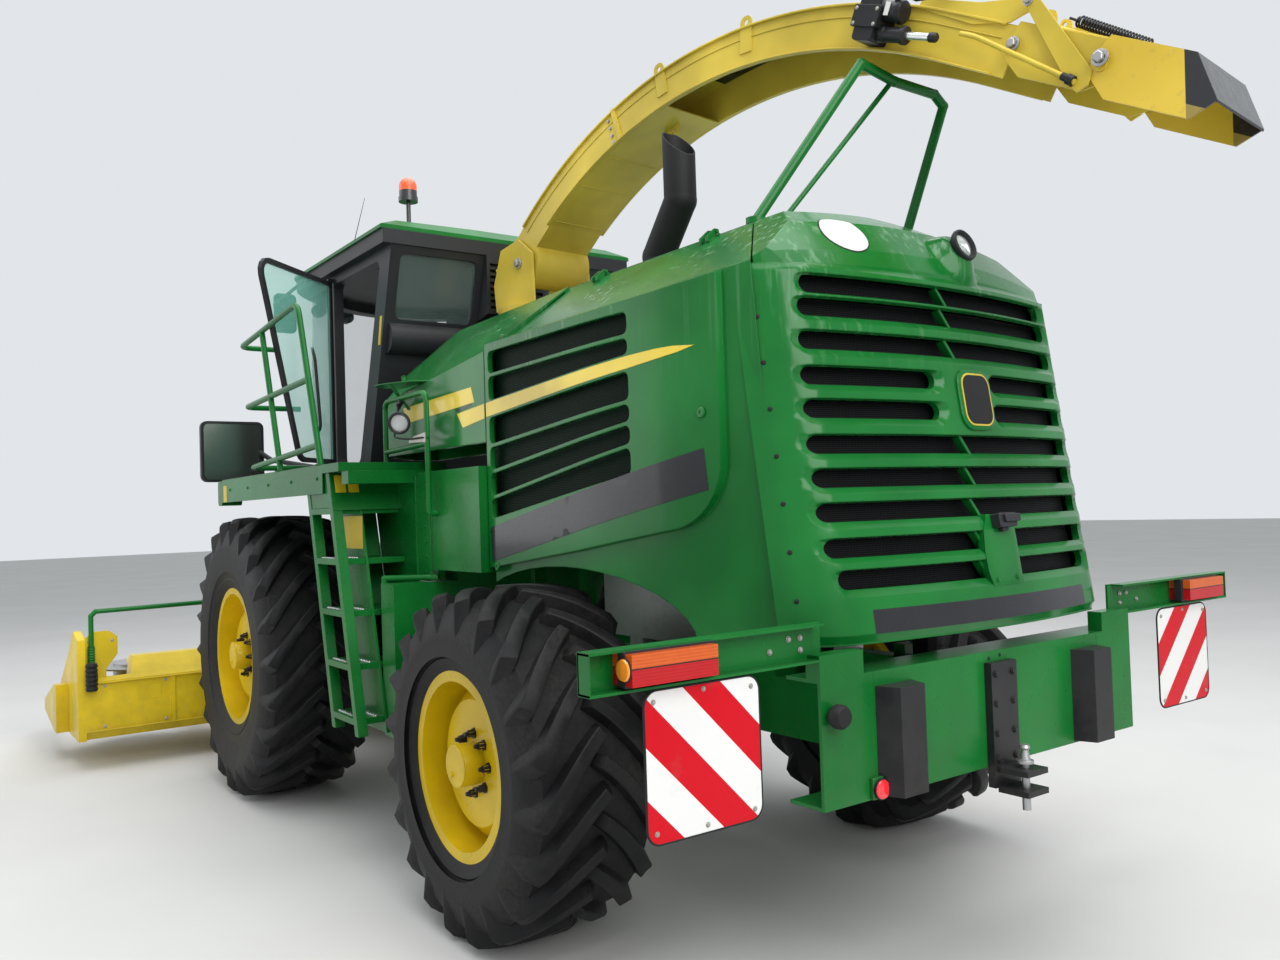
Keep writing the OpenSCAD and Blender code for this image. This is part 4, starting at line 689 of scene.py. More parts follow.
zinc = metal("zinc bolts", (0.42, 0.41, 0.38), 0.4, 0.25)
chrome = metal("bright rod", (0.75, 0.75, 0.76), 0.18, 0.0)
reflector = metal("lamp reflector", (0.85, 0.86, 0.87), 0.12, 0.0)
print("materials:", len(bpy.data.materials))

# %% [markdown]
# The boards carry reflective sheet with diagonal stripes, and the lamps have two colours in one lens.
# An image would have to be unwrapped on each. Here a stripe is a band of one sum of coordinates, and
# a lens changes its colour at one height.

# %% Striped boards, two-part lamp lenses and the beacon
STRIPE_PAIR = 0.283     # one red and one white stripe, measured upright
STRIPE_SHIFT = 2.979    # puts a red stripe through the board's middle


def board_material():
    """Reflective sheet with broad red and white stripes at 45 degrees, towards the machine's middle."""
    m = Material("striped board", (0.8, 0.8, 0.79), 0.3, coat=0.0, specular=0.15)
    band = ((m.z - abs(m.y) + STRIPE_SHIFT) * (1.0 / STRIPE_PAIR) + 0.5).math("FRACT")
    red = abs(band - 0.5).under(0.245)
    grain = m.cells(260).rise(0.0, 0.25)
    out = m.mix(red, (0.74, 0.74, 0.73), (0.56, 0.003, 0.012))
    dirt = m.noise(8, 5).rise(0.6, 0.9) * 0.25
    m.set("Base Color", m.mix(dirt, out, (0.22, 0.2, 0.18)))
    m.set("Roughness", dirt * 0.5 + 0.22)
    m.bump(grain, 0.0001)
    return m.made


striped = board_material()


def two_part_lens(name, low_color, high_color, level, glow):
    """A lens whose upper part has another colour than its lower part, with ribs across both."""
    m = Material(name, low_color, 0.15, coat=0.1, specular=0.3)
    upper = m.z.over(level)
    seam = abs(m.z - level).under(0.002)
    rib = abs((m.z * 110.0).math("FRACT") - 0.5) * 2.0
    tint = m.mix(upper, low_color, high_color)
    bright = m.mix(upper, (0.60, 0.015, 0.02), (0.80, 0.20, 0.03))
    out = m.mix(rib * 0.25 + m.noise(40, 2) * 0.25, tint, bright)
    m.set("Base Color", m.mix(seam, out, (0.02, 0.01, 0.01)))
    m.set("Emission Color", tint)
    m.set("Emission Strength", glow)
    m.bump(rib, 0.0006)
    return m.made


lamp_low, lamp_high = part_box("tail_lamps")
tail_lens = two_part_lens("tail lamp lens", (0.36, 0.003, 0.006), (0.46, 0.06, 0.008),
                          0.45 * lamp_low[2] + 0.55 * lamp_high[2], 0.04)


def beacon_material():
    """An orange cap on a dark foot: the colour changes at one height."""
    low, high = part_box("beacon")
    m = Material("beacon", (0.9, 0.1, 0.01), 0.25, coat=0.5)
    cap = m.z.over(high[2] - 0.085)
    rib = abs((m.z * 120.0).math("FRACT") - 0.5) * 2.0
    orange = m.mix(rib, (0.85, 0.07, 0.008), (0.95, 0.16, 0.03))
    m.set("Base Color", m.mix(cap, (0.014, 0.014, 0.016), orange))
    m.set("Roughness", 0.45 - cap * 0.25)
    m.bump(rib * cap, 0.0008)
    return m.made


beacon_cap = beacon_material()
print("materials with stripes and lenses:", len(bpy.data.materials))

# %% [markdown]
# ## Each packed node gets its material
#
# The packed nodes come bare. A first table says under which slot the library files each finish, so that
# a new piece needs only its material. A second table says which finish each packed node has on the real
# machine. Setting them one by one would repeat the same two lines for every node.

# %% Slots of the finishes
for slot, finishes in {
    "green_paint": [green, green_hood],
    "yellow_paint": [yellow, rim_yellow, header_yellow, yellow_film],
    "frame_black": [black],
    "black_plastic": [black_plastic, trim_rubber, black_film],
    "tyre_rubber": [rubber],
    "worn_steel": [steel, zinc, chrome],
    "clear_glass": [mirror_glass, lamp_glass, reflector],
    "board_white": [striped, white_plate, warning_yellow],
    "lamp_amber": [amber],
    "lamp_red": [red_reflector],
}.items():
    slot_of.update({finish: slot for finish in finishes})
print("finishes:", len(slot_of), "in slots:", len(set(slot_of.values())))


# %% Dress the nodes
def dress(name, material):
    """Gives a packed node its material."""
    nodes[name].data.materials.clear()
    nodes[name].data.materials.append(material)


finish = {
    green_hood: ["rear_hood", "side_panel_left", "side_panel_right", "hood_deck"],
    green: ["chopper_housing", "rear_bumper", "platform", "ladder", "handrails", "side_boxes",
            "cab_roof", "spout_cradle", "header_guard", "chassis_frame", "lift_barrels"],
    yellow: ["spout_base", "spout_arc", "deflector_inner", "deflector_end"],
    header_yellow: ["header_frame"],
    rim_yellow: [f"{axle}_rim_{word}" for axle in ("front", "rear") for _, word in SIDES],
    black: ["front_axle", "rear_axle", "bumper_posts", "tow_hitch", "spout_turret", "feeder_house",
            "knuckle_left", "knuckle_right", "spout_motor", "tie_rod"],
    black_plastic: ["cab_shell", "door_frame", "steering_console", "mirrors", "work_lamps", "radiator"],
    soot: ["exhaust_pipe"],
    steel: ["engine_block", "lift_rods"] + [f"crop_drum_{k}" for k in (1, 2, 3, 4)],
    rubber: [f"{axle}_tyre_{word}" for axle in ("front", "rear") for _, word in SIDES],
    cab_glass: ["cab_windows"],
    door_glass: ["door_glass"],
    seat_cloth: ["seat"],
    tail_lens: ["tail_lamps"],
    beacon_cap: ["beacon"],
    striped: ["warning_panels"],
}
for material, names in finish.items():
    for name in names:
        dress(name, material)
bare = sorted(set(nodes) - {n for names in finish.values() for n in names})
print("nodes without a material:", bare)

# %% [markdown]
# ## Tyres
#
# A tractor tyre is a carcass with two rows of bars that meet in a chevron, its point leading as the
# tyre rolls. One bar could be modelled by hand and copied round with an Array, but its curve has to
# follow the carcass. So a bar is a grid: along it the stations run from the middle to the shoulder,
# and across it the points climb one flank, cross the worn top and go down the other flank.

# %% Tyres with curved bars
BAR_HEIGHT = 0.052


def carcass_radius(across, r, w):
    """Radius of the carcass between its bars: nearly flat across it, then round at the shoulder."""
    t = np.abs(across) / (0.5 * w)
    shoulder = np.clip((t - 0.80) / 0.20, 0, 1)
    return r - BAR_HEIGHT - 0.012 * t**2 - 0.115 * shoulder**2.2


def bar_of_tread(r, w, turn, side):
    """One bar: a curved ridge from the middle of the tread over the shoulder, at the angle `turn`."""
    s = np.linspace(0, 1, 15)[:, None]
    across = w * (-0.045 + 0.535 * s)
    back = 0.62 * w * (0.55 * s + 0.45 * s**1.8)
    slope = np.gradient(back[:, 0], across[:, 0])[:, None]
    normal = np.stack([np.ones_like(slope), -slope], -1) / np.sqrt(1 + slope[..., None] ** 2)
    level = np.array([0, 0.55, 0.93, 1.0, 1.0, 0.93, 0.55, 0])[None]
    spread = np.array([-1, -0.80, -0.70, -0.55, 0.55, 0.70, 0.80, 1])[None]
    half = (0.034 + 0.012 * s) * spread
    u = back + half * normal[..., 0]
    v = across + half * normal[..., 1]
    v = np.clip(v, -0.5 * w, 0.499 * w)
    foot = carcass_radius(v, r, w) - 0.012
    top = r - 0.020 * (np.abs(v) / (0.5 * w)) ** 2.5
    fade = np.clip((1.0 - s) / 0.10, 0, 1) ** 0.5 * np.clip(s / 0.04 + 0.35, 0, 1)
    radius = foot + (top - foot) * level * fade
    angle = turn - u / r
    return grid(np.stack([radius * np.sin(angle), side * v, radius * np.cos(angle)], -1))


def tyre(name, body, rim, bars):
    """The tyre in place of a packed one, of the same size, with its beads on a rim of radius `rim`."""
    low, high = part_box(name)
    middle = 0.5 * (np.array(low) + np.array(high))
    r, w = 0.5 * (high[2] - low[2]), high[1] - low[1]
    v = np.linspace(-0.5, 0.5, 23) * w
    outer = [(carcass_radius(a, r, w), a) for a in v]
    wall = [(r - 0.20, 0.497), (r - 0.27, 0.5), (rim + 0.10, 0.486), (rim + 0.095, 0.478),
            (rim + 0.06, 0.462), (rim + 0.052, 0.468), (rim + 0.03, 0.452), (rim - 0.005, 0.43),
            (rim - 0.03, 0.40)]
    left = [(a, b * w) for a, b in wall]
    right = [(a, -b * w) for a, b in wall[::-1]]
    hollow = [(rim - 0.02, -0.36 * w), (r - 0.16, -0.40 * w), (r - 0.11, 0), (r - 0.16, 0.40 * w),
              (rim - 0.02, 0.36 * w)]
    profile = right + outer + left + hollow[::-1]
    parts = [turned(profile + profile[:1], middle, Y, 112)]
    for k in range(bars):
        for side, shift in ((1, 0.0), (-1, 0.5)):
            points, quads = bar_of_tread(r, w, 2 * math.pi * (k + shift) / bars, side)
            parts.append((points + middle, quads if side > 0 else [q[::-1] for q in quads]))
    piece(f"{name}_tread", parts, rubber, body, replaces=[name], sharp=38)


for _, word in SIDES:
    tyre(f"front_tyre_{word}", f"front_wheel_{word}", 0.43, 22)
    tyre(f"rear_tyre_{word}", f"rear_wheel_{word}", 0.379, 20)
print("tyres made")

# %% [markdown]
# ## Wheel nuts
#
# Eight dark nuts hold each rim. A nut is a six-sided turned shape with a chamfer, and its stud stands
# a little out of it. The hub's cap has a rounded edge and a plug off its middle. All are profiles of
# (distance from the axle, place along it), so one function turns each of them.

# %% Nuts, studs and hub caps
BOLT_CIRCLE = 0.120
nut = [(0.0, -0.079), (0.024, -0.078), (0.024, -0.074), (0.0172, -0.073), (0.0172, -0.054),
       (0.0150, -0.0505), (0.0100, -0.0505)]
stud_end = [(0.0095, -0.0505), (0.0095, -0.038), (0.0075, -0.035), (0.0, -0.035)]
hub_cap = [(0.0854, -0.078), (0.0854, 0.004), (0.081, 0.0105), (0.070, 0.0115), (0.066, 0.0095),
           (0.0, 0.0095)]
plug = [(0.012, 0.009), (0.012, 0.016), (0.009, 0.018), (0.0, 0.018)]
for axle, r, rim_y, x in (("front", 0.875, 1.470, 0.0), ("rear", 0.710, 1.393, -3.0)):
    for side, word in SIDES:
        middle, shapes = at(x, side * rim_y, r), []
        for turn in (k * math.pi / 4 for k in range(8)):
            spot = middle + BOLT_CIRCLE * np.array([math.cos(turn), 0, math.sin(turn)])
            shapes += [turned(nut, spot, side * Y, 6), turned(stud_end, spot, side * Y, 12)]
        piece(f"{axle}_nuts_{word}", shapes, black, f"{axle}_wheel_{word}", "worn_steel")
        caps = [turned(hub_cap, middle, side * Y, 48),
                turned(plug, middle + (0.030, 0, -0.038), side * Y, 6)]
        piece(f"{axle}_cap_{word}", caps, rim_yellow, f"{axle}_wheel_{word}")
print("wheel nuts made")

# %% [markdown]
# ## Things that lie on a panel
#
# A stripe, a badge or a slat has its outline on a flat sheet first. Each flat point then flies along
# one direction until it meets the panel, and stops a little above it, so the thing follows the panel
# however that is bowed. A height that changes from point to point makes a relief of it.

# %% Laying flat shapes on packed panels


class Skin:
    """Packed nodes as one surface, on which flat shapes are laid along a direction."""

    def __init__(self, *names):
        vertices, faces = [], []
        for name in names:
            start = len(vertices)
            vertices += [v.co[:] for v in nodes[name].data.vertices]
            faces += [[i + start for i in p.vertices] for p in nodes[name].data.polygons]
        self.tree = BVHTree.FromPolygons(vertices, faces)

    def lay(self, u, v, along, origin=(0, 0, 0), reach=3.0):
        """A rule that takes flat points (a, b) and heights to the surface met from a u + b v."""
        u, v, along, origin = (np.asarray(k, float) for k in (u, v, along, origin))

        def rule(flat, height=0.0):
            height = np.broadcast_to(height, len(flat))
            out, last = [], None
            for (a, b), h in zip(flat, height):
                start = origin + a * u + b * v - reach * along
                hit, normal, *_ = self.tree.ray_cast(Vector(start), Vector(along))
                if hit is None:
                    sought = start + reach * along if last is None else last
                    hit, normal, *_ = self.tree.find_nearest(Vector(sought))
                if normal.dot(Vector(along)) > 0:
                    normal = -normal
                last = np.array(hit)
                out.append(last + h * (0.4 * np.array(normal) - 0.6 * along))
            return np.array(out)

        return rule


def sticker(rule, outline, direction, lift=0.0018, holes=(), step=0.03, dome=0.0, rim=0.012):
    """A thin sheet on a panel, raised in its middle by `dome`, its edges brought down to the panel."""
    loops = [resample(outline, step)] + [resample(h, step) for h in holes]

    def raised(flat):
        near = edge_distance(flat, loops[0])
        return rule(flat, lift + dome * np.sqrt(np.clip(near / rim, 0, 1)))

    parts = [outward(pressed(outline, list(holes), step, raised), direction)]
    for h in loops:
        parts.append(grid(np.stack([raised(h), rule(h, -0.002)]), close_columns=True))
    return join(parts)


def relief(rule, a, b, height, direction):
    """A moulded ridge: a grid over (a, b) on a panel, at a height that ends at nothing."""
    flat = np.stack([a.ravel(), b.ravel()], -1)
    points = rule(flat, height.ravel()).reshape(a.shape + (3,))
    return outward(grid(points), direction)


print("skins ready")


# %% Bolts and hoses
def hexagon_bolt(place, normal, size=0.012):
    """A washer with a six-sided head on it."""
    profile = [(0, 0), (size * 1.15, 0), (size * 1.15, size * 0.18), (size * 0.2, size * 0.2)]
    head = [(size * 0.85, 0), (size * 0.85, size * 0.62), (size * 0.72, size * 0.72), (0, size * 0.72)]
    return [turned(profile, place, normal, 14), turned(head, place, normal, 6)]


def bolts(places, normal, size=0.012):
    """Bolts with one direction at several places."""
    return [shape for p in places for shape in hexagon_bolt(p, normal, size)]


def hose(points, radius=0.012, step=0.03, sides=10):
    """A round hose bent smoothly through points."""
    return sweep(smooth_path(points, step), circle(radius, sides))


print("a bolt has", len(hexagon_bolt((0, 0, 0), Z)), "turned shapes")

# %% [markdown]
# ## The rear lid
#
# The lid is a pressed sheet with ten slots. Seen from the side it leans forward, and seen from above it
# is a shallow bow with rounded corners, so its face is one formula of the height and of the distance
# from the middle. Each slot lies in a pocket: the sheet slopes in towards the slot from below and from
# its ends, and turns in sharply above it. A height added to the formula presses the pockets. Sculpting
# could give the same look once, but the formula keeps all ten pockets alike, and the badge, the
# rivets and the screen behind ask it for their own places.

# %% The lid's face as a formula
LEAN, FOOT_Z = math.radians(8.3), 1.29
FOOT_X = -4.56 + AXLE_X
BOW_R = (0.85**2 + 0.1**2) / 0.2
CORNER = np.array([(0.625, -0.010), (0.800, 0.125), (0.850, 0.185), (0.890, 0.260), (1.300, 3.0)])
SLOT, POCKET = 0.062, 0.022
span = np.linspace(-1.0, 1.0, 1001)
plain_depth = np.maximum(BOW_R - np.sqrt(BOW_R**2 - span**2),
                         np.interp(abs(span), *CORNER.T, left=-1.0))
blur = np.hanning(61) / np.hanning(61).sum()    # 61 samples of 2 mm: the corner's rounding
smooth_depth = np.convolve(np.pad(plain_depth, 30, mode="edge"), blur, mode="valid")


def lid_face(flat, out=0.0):
    """Foot, plus the bow across, plus the lean times the height; `out` stands proud of it."""
    y, z = np.asarray(flat, float).T
    proud = np.minimum(np.interp(y, span, plain_depth) - 0.0012, np.interp(y, span, smooth_depth) - out)
    inner = np.interp(y, span, smooth_depth) - out
    depth = np.where(np.broadcast_to(out, y.shape) < 0, inner, proud)
    return np.stack([FOOT_X + depth / math.cos(LEAN) + math.tan(LEAN) * (z - FOOT_Z), y, z], -1)


print("bow radius", round(BOW_R, 3), "deepest corner", round(plain_depth[[50, -51]].max(), 3))


# %% Slots and their pockets
slots = [(2.477, .739), (2.394, .759), (2.276, .773), (2.152, .782), (2.037, .787),
         (1.915, .792), (1.800, .791), (1.685, .793), (1.566, .786), (1.461, .753)]
pockets = []
for k, (z, half) in enumerate(slots):
    web = z - slots[k + 1][0] - SLOT if k + 1 < len(slots) else 0.06
    for low, high in [(-half, -0.150), (0.098, half)] if k in (3, 4) else [(-half, half)]:
        pockets.append((z, low, high, min(0.030, 0.5 * web)))
END, ABOVE = 0.040, 0.006                           # the pocket's reach at a slot's ends and above it
EDGE_Y, EDGE_LOW, EDGE_HIGH = 0.868, 1.257, 2.553   # the border of the pressed sheet
print("slots:", len(slots), "pockets:", len(pockets))


def stretched(value, reach):
    """1 at the slot's edge, 2 at `reach` beyond it."""
    return np.where(value < SLOT / 2, value / (SLOT / 2), 1 + (value - SLOT / 2) / reach)


def pocket_rise(flat):
    """0 at the nearest slot's edge, 1 outside its pocket, by a distance scaled differently each way."""
    y, z = flat.T
    rise = np.ones(len(flat))
    for middle, low, high, below in pockets:
        along = np.maximum(np.maximum(y - (high - END - SLOT / 2), (low + END + SLOT / 2) - y), 0)
        up = z - middle
        height = np.where(up < 0, stretched(-up, below), stretched(up, ABOVE))
        rise = np.minimum(rise, np.clip(np.hypot(stretched(along, END), height) - 1, 0, 1))
    return rise


def slot_loop(pocket, level, steps=9):
    """Outline round a slot where the scaled distance is `level`."""
    middle, low, high, below = pocket
    a = np.linspace(-math.pi / 2, math.pi / 2, steps)

    def reach(amount, beyond):
        return np.where(amount < 1, amount * SLOT / 2, SLOT / 2 + (amount - 1) * beyond)

    along = reach(level * np.cos(a), END)
    up = np.where(a < 0, -reach(level * -np.sin(a), below), reach(level * np.sin(a), ABOVE))
    right_end = np.stack([high - END - SLOT / 2 + along, middle + up], -1)
    left_end = np.stack([low + END + SLOT / 2 - along, middle + up], -1)[::-1]
    return np.vstack([right_end, left_end])


# %% The pressed sheet with its slots
def grille(flat):
    """The lid's face with its pockets, sinking to the packed lid at the sheet's border."""
    y, z = flat.T
    border = np.minimum(np.minimum(EDGE_Y - abs(y), EDGE_HIGH - z), z - EDGE_LOW)
    lift = ramp(border, 0.0, 0.030)
    rise = np.clip(pocket_rise(flat) / 0.85, 0, 1)
    return lid_face(flat, 0.0012 + POCKET * rise * lift)


sheet_edge = rounded_box(-EDGE_Y, EDGE_Y, EDGE_LOW, EDGE_HIGH, 0.03)
creases = [slot_loop(p, 1.85) for p in pockets]
face_sheet = pressed(sheet_edge, [slot_loop(p, 1.0) for p in pockets], 0.014, grille, creases=creases)
lips = [grid(np.stack([lid_face(loop, 0.0012), lid_face(loop, -0.022)]), close_columns=True)
        for loop in (resample(slot_loop(p, 1.0), 0.02) for p in pockets)]
piece("grille_face", [outward(face_sheet, -X)] + lips, green_hood, "rear_lid", sharp=28)
print("faces of the sheet:", len(face_sheet[1]))


# %% Screens and braces behind the slots
def mesh_with_painted_shade(name, color, cells=140.0):
    """Woven screen: two families of wires, with painted shade in the gaps between them."""
    m = Material(name, color, 0.6, specular=0.1)
    wires = [abs((axis * cells).math("FRACT") - 0.5).over(0.34) for axis in (m.y + m.x, m.z)]
    woven = wires[0].math("MAXIMUM", wires[1])
    # The gaps between the wires are painted shade: 0.12 of the wires' colour.
    m.set("Base Color", m.mix(woven, tuple(0.12 * c for c in color), color))
    m.set("Roughness", 0.85 - woven * 0.4)
    m.bump(woven, 0.0006)
    return m.made


# Both screens are real mesh; their very dark colours are painted shade of the space behind the slots.
dark_mesh_and_shade = mesh_with_painted_shade("dark mesh with painted shade", (0.010, 0.011, 0.012))
green_mesh_and_shade = mesh_with_painted_shade("green mesh with painted shade", (0.002, 0.016, 0.007))
dress("radiator", dark_mesh_and_shade)
behind_slots = pressed(rounded_box(-0.80, 0.80, 1.40, 2.53, 0.02), [], 0.05,
                       lambda f: lid_face(f, -0.045))
piece("lid_screen", outward(behind_slots, -X), dark_mesh_and_shade, "rear_lid", "cooler")

braces = []
for z, half in slots[:3] + slots[5:]:
    ends = lid_face(np.array([(0.052, z + 0.033), (0.006, z - 0.036)]), 0.002)
    braces.append(sweep(ends, [(-.006, -.030), (.006, -.030), (.006, .004), (-.006, .004)],
                        up=(-1, 0, 0)))
piece("grille_braces", braces, green_hood, "rear_lid")
print("braces:", len(braces))

# %% [markdown]
# ## What is fixed to the lid
#
# A badge seat without a badge, a hatch with its catch, a blank speed disc, a work lamp on a swelling,
# a plain band, and rivets down the corners. On the machine they are pressed, glued or riveted on. A
# Shrinkwrap modifier could pull flat pieces onto the sheet, but it leaves their edges in the air. Here
# each point takes its height from the lid's formula, and the edges are brought down to the sheet.

# %% Badge seat, hatch plate and band
seat_ring = rounded_box(-0.152, 0.048, 1.970, 2.200, 0.060)
piece("badge_seat", sticker(lid_face, seat_ring, -X, POCKET + 0.008, step=0.012, dome=0.005, rim=0.012),
      green_hood, "rear_lid")
ring = rounded_box(-0.136, 0.032, 1.986, 2.184, 0.046)
piece("badge_line", sticker(lid_face, ring, -X, POCKET + 0.0145, step=0.012), yellow, "rear_lid")
field = rounded_box(-0.129, 0.025, 1.993, 2.177, 0.040)
piece("badge_field", sticker(lid_face, field, -X, POCKET + 0.016, step=0.012), trim_rubber, "rear_lid")

hatch = [(-0.165, 1.400), (-0.165, 1.600), (-0.135, 1.652), (0.005, 1.660), (0.030, 1.600),
         (0.040, 1.520), (0.037, 1.455), (0.020, 1.400)]
piece("hatch_plate", sticker(lid_face, hatch, -X, POCKET + 0.003, step=0.02, dome=0.003, rim=0.004),
      green_hood, "rear_lid")
rise_up = np.array([math.sin(LEAN), 0, math.cos(LEAN)])
out_back = np.array([-math.cos(LEAN), 0, math.sin(LEAN)])


def fitted(outline, thick, middle, across, up, out):
    """A plate with its outline in the plane of `across` and `up`, growing along `out`."""
    return slab(outline, thick, lambda a, b, d: tuple(middle + a * across + b * up + d * out))


catch, *hatch_bolts = lid_face(np.array([(-0.070, 1.632), (-0.125, 1.425), (-0.005, 1.422)]),
                               POCKET + 0.006)
blocks = ((-0.052, 0.052, -0.026, 0.026, 0.008, 0.040), (-0.060, 0.030, -0.008, 0.020, 0.006, 0.052),
          (-0.022, 0.016, -0.040, -0.020, 0.006, 0.020))
catch_box = [outward(fitted(rounded_box(*ends), thick, catch, Y, rise_up, out_back), -X)
             for *ends, thick in blocks]
piece("hatch_catch", catch_box, black_plastic, "rear_lid", bevel=0.003)
piece("hatch_bolts", bolts(hatch_bolts, out_back, 0.009), green, "rear_lid")
band = rounded_box(-0.620, 0.613, 1.284, 1.362, 0.003)
piece("rear_band", sticker(lid_face, band, -X, POCKET + 0.0016, step=0.03), black_film, "rear_lid")

# %% Speed disc and work lamp on the crown
lid = Skin("rear_hood")


def on_crown(y, z):
    """Place, directions across and up, and outward direction where a line along X meets the lid."""
    hit, normal, *_ = lid.tree.ray_cast(Vector((-6, y, z)), Vector((1, 0, 0)))
    normal = np.array(normal) if normal[0] < 0 else -np.array(normal)
    up = unit(Z - np.dot(Z, normal) * normal)
    return np.array(hit), np.cross(up, normal), up, normal


place, across, up, normal = on_crown(0.397, 2.70)
on_slope = lid.lay(across, up, -normal, place, 0.5)
disc = 0.1 * circle(1.0, 48)
piece("disc_edge", sticker(on_slope, 1.05 * disc, normal, 0.0015, step=0.02), trim_rubber, "rear_lid",
      "board_white")
piece("blank_disc", sticker(on_slope, disc, normal, 0.003, step=0.02), white_plate, "rear_lid")


def round_lamp(name, place, normal, r, body, depth=0.05):
    """A round work lamp: a cupped black housing with a rolled rim, a bright bowl and a domed lens."""
    place, normal = np.asarray(place, float), unit(normal)
    housing = [(0.0, -depth), (0.55 * r, -depth), (0.90 * r, -0.3 * depth), (1.0 * r, 0.0),
               (1.14 * r, 0.004), (1.22 * r, 0.014), (1.18 * r, 0.025), (1.04 * r, 0.028),
               (0.92 * r, 0.016), (0.90 * r, 0.0), (0.4 * r, -0.6 * depth), (0.0, -0.7 * depth)]
    piece(name, turned(housing, place, normal, 40), black_plastic, body, sharp=50)
    bowl = [(0.0, -0.5 * depth), (0.4 * r, -0.42 * depth), (0.75 * r, -0.15 * depth), (0.91 * r, 0.004)]
    piece(f"{name}_bowl", turned(bowl, place, normal, 40), reflector, body)
    bulb = [(0.0, 0.004), (0.14 * r, 0.000), (0.16 * r, -0.5 * depth)]
    piece(f"{name}_bulb", turned(bulb, place, normal, 16), white_plate, body, "clear_glass")
    dome = [(0.92 * r * math.sin(t), 0.008 + 0.012 * math.cos(t))
            for t in np.linspace(0, math.pi / 2, 8)]
    piece(f"{name}_lens", turned(dome, place, normal, 40), lamp_glass, body)


place, across, up, normal = on_crown(-0.147, 2.676)
outwards = unit(normal * 0.75 + np.array([-0.55, 0, -0.12]))
a, b = np.meshgrid(np.linspace(-0.13, 0.13, 41), np.linspace(-0.20, 0.12, 41), indexing="ij")
far_off = np.hypot(a / 0.13, np.where(b > 0, b / 0.12, b / 0.20))
swell = lid.lay(across, up, -normal, place, 0.5)
piece("lamp_swelling", relief(swell, a, b, 0.058 * (1 - ramp(far_off, 0.30, 1.0)) - 0.0015, normal),
      green_hood, "rear_lid", sharp=80)
round_lamp("rear_work_lamp", place + 0.062 * outwards, outwards, 0.054, "rear_lid", 0.04)

print("work lamp at", (place + 0.062 * outwards).round(3))

# %% Rivets down the corners
rivets = []
for z in np.arange(1.40, 2.5, 0.16):
    for side in (1, -1):
        spot = lid_face(np.array([(side * 0.835, z)]), POCKET)[0]
        head = [(0.009, -0.001), (0.0085, 0.002), (0.006, 0.0045), (0.0, 0.0055)]
        rivets.append(turned(head, spot, unit((-0.75, side * 0.65, 0)), 12))
piece("lid_rivets", rivets, trim_rubber, "rear_lid", "green_paint")
print("rivets:", len(rivets))

# %% [markdown]
# ## Side panels
#
# A long yellow stripe runs between the second and third slots and tapers to a point. It starts on the
# front cowl, where a second stripe lies above it. Below the slots a plain black band leans with them,
# and a green screen closes the slots from inside; its nearly black green is painted shade inside the
# panel. The stripes are film on the real sheet. A picture texture would need each panel unwrapped, so
# they are thin sheets of their own, laid on the panels.

# %% Stripes, bands and screens on both sides
long_stripe = along_x([(-2.586, 2.164), (-2.586, 2.229), (-3.1, 2.261), (-3.69, 2.296), (-3.84, 2.302),
                       (-3.93, 2.301), (-4.03, 2.291), (-3.95, 2.276), (-3.84, 2.264), (-3.69, 2.249),
                       (-3.1, 2.205)])
short_stripe = along_x([(-2.568, 2.160), (-2.568, 2.228), (-2.285, 2.207), (-2.345, 2.135)])
front_stripe = along_x([(-2.470, 2.245), (-2.438, 2.320), (-1.640, 2.295), (-1.700, 2.212)])
black_dash = along_x([(-2.438, 2.231), (-2.430, 2.241), (-2.270, 2.226), (-2.285, 2.214)])
PANEL_Y, PANEL_BOW, BEND_X = 1.0, 3.9, -3.3
FILM = 0.0016       # how far a film stands off its panel
black_band = along_x([(-2.600, 1.655), (-4.056, 1.925), (-4.072, 1.778), (-2.610, 1.500)])


def plan_y(x, side, deeper):
    """Place of a side panel across the machine: straight, then drawn in on a circle."""
    back = np.maximum(BEND_X - (np.asarray(x) - AXLE_X), 0)
    return side * (PANEL_Y - PANEL_BOW + np.sqrt(PANEL_BOW**2 - back**2) - deeper)


for side, word in SIDES:
    panel = Skin(f"side_panel_{word}").lay(X, Z, -side * Y, (0, 2 * side, 0), 1.0)
    cowl = Skin("hood_deck").lay(X, Z, -side * Y, (0, 2 * side, 0), 1.0)
    lid_body = f"{word}_lid"
    piece(f"stripe_{word}", sticker(panel, long_stripe, side * Y, FILM), yellow_film, lid_body)
    piece(f"side_band_{word}", sticker(panel, black_band, side * Y, FILM), black_film, lid_body)
    cowl_stripes = [sticker(cowl, line, side * Y, FILM) for line in (short_stripe, front_stripe)]
    piece(f"cowl_stripe_{word}", cowl_stripes, yellow_film)
    piece(f"cowl_dash_{word}", sticker(cowl, black_dash, side * Y, FILM), black_film)
    # The screen behind the slots: its nearly black green is painted shade inside the panel.
    x, z = np.meshgrid(np.linspace(-2.59, -3.76, 30) + AXLE_X, [1.64, 2.488], indexing="ij")
    behind = outward(grid(np.stack([x, plan_y(x, side, 0.045), z], -1)), side * Y)
    piece(f"side_screen_{word}", behind, green_mesh_and_shade, lid_body, "green_paint")
    catches = [panel(along_x([(x, z)]), 0.002)[0]
               for x, z in ((-2.66, 2.52), (-2.66, 1.42), (-4.05, 2.05))]
    cap = [(0.020, -0.002), (0.020, 0.002), (0.017, 0.005), (0.007, 0.005), (0.006, 0.002),
           (0.0, 0.002)]
    piece(f"panel_catches_{word}", [turned(cap, p, side * Y, 24) for p in catches], green, lid_body)

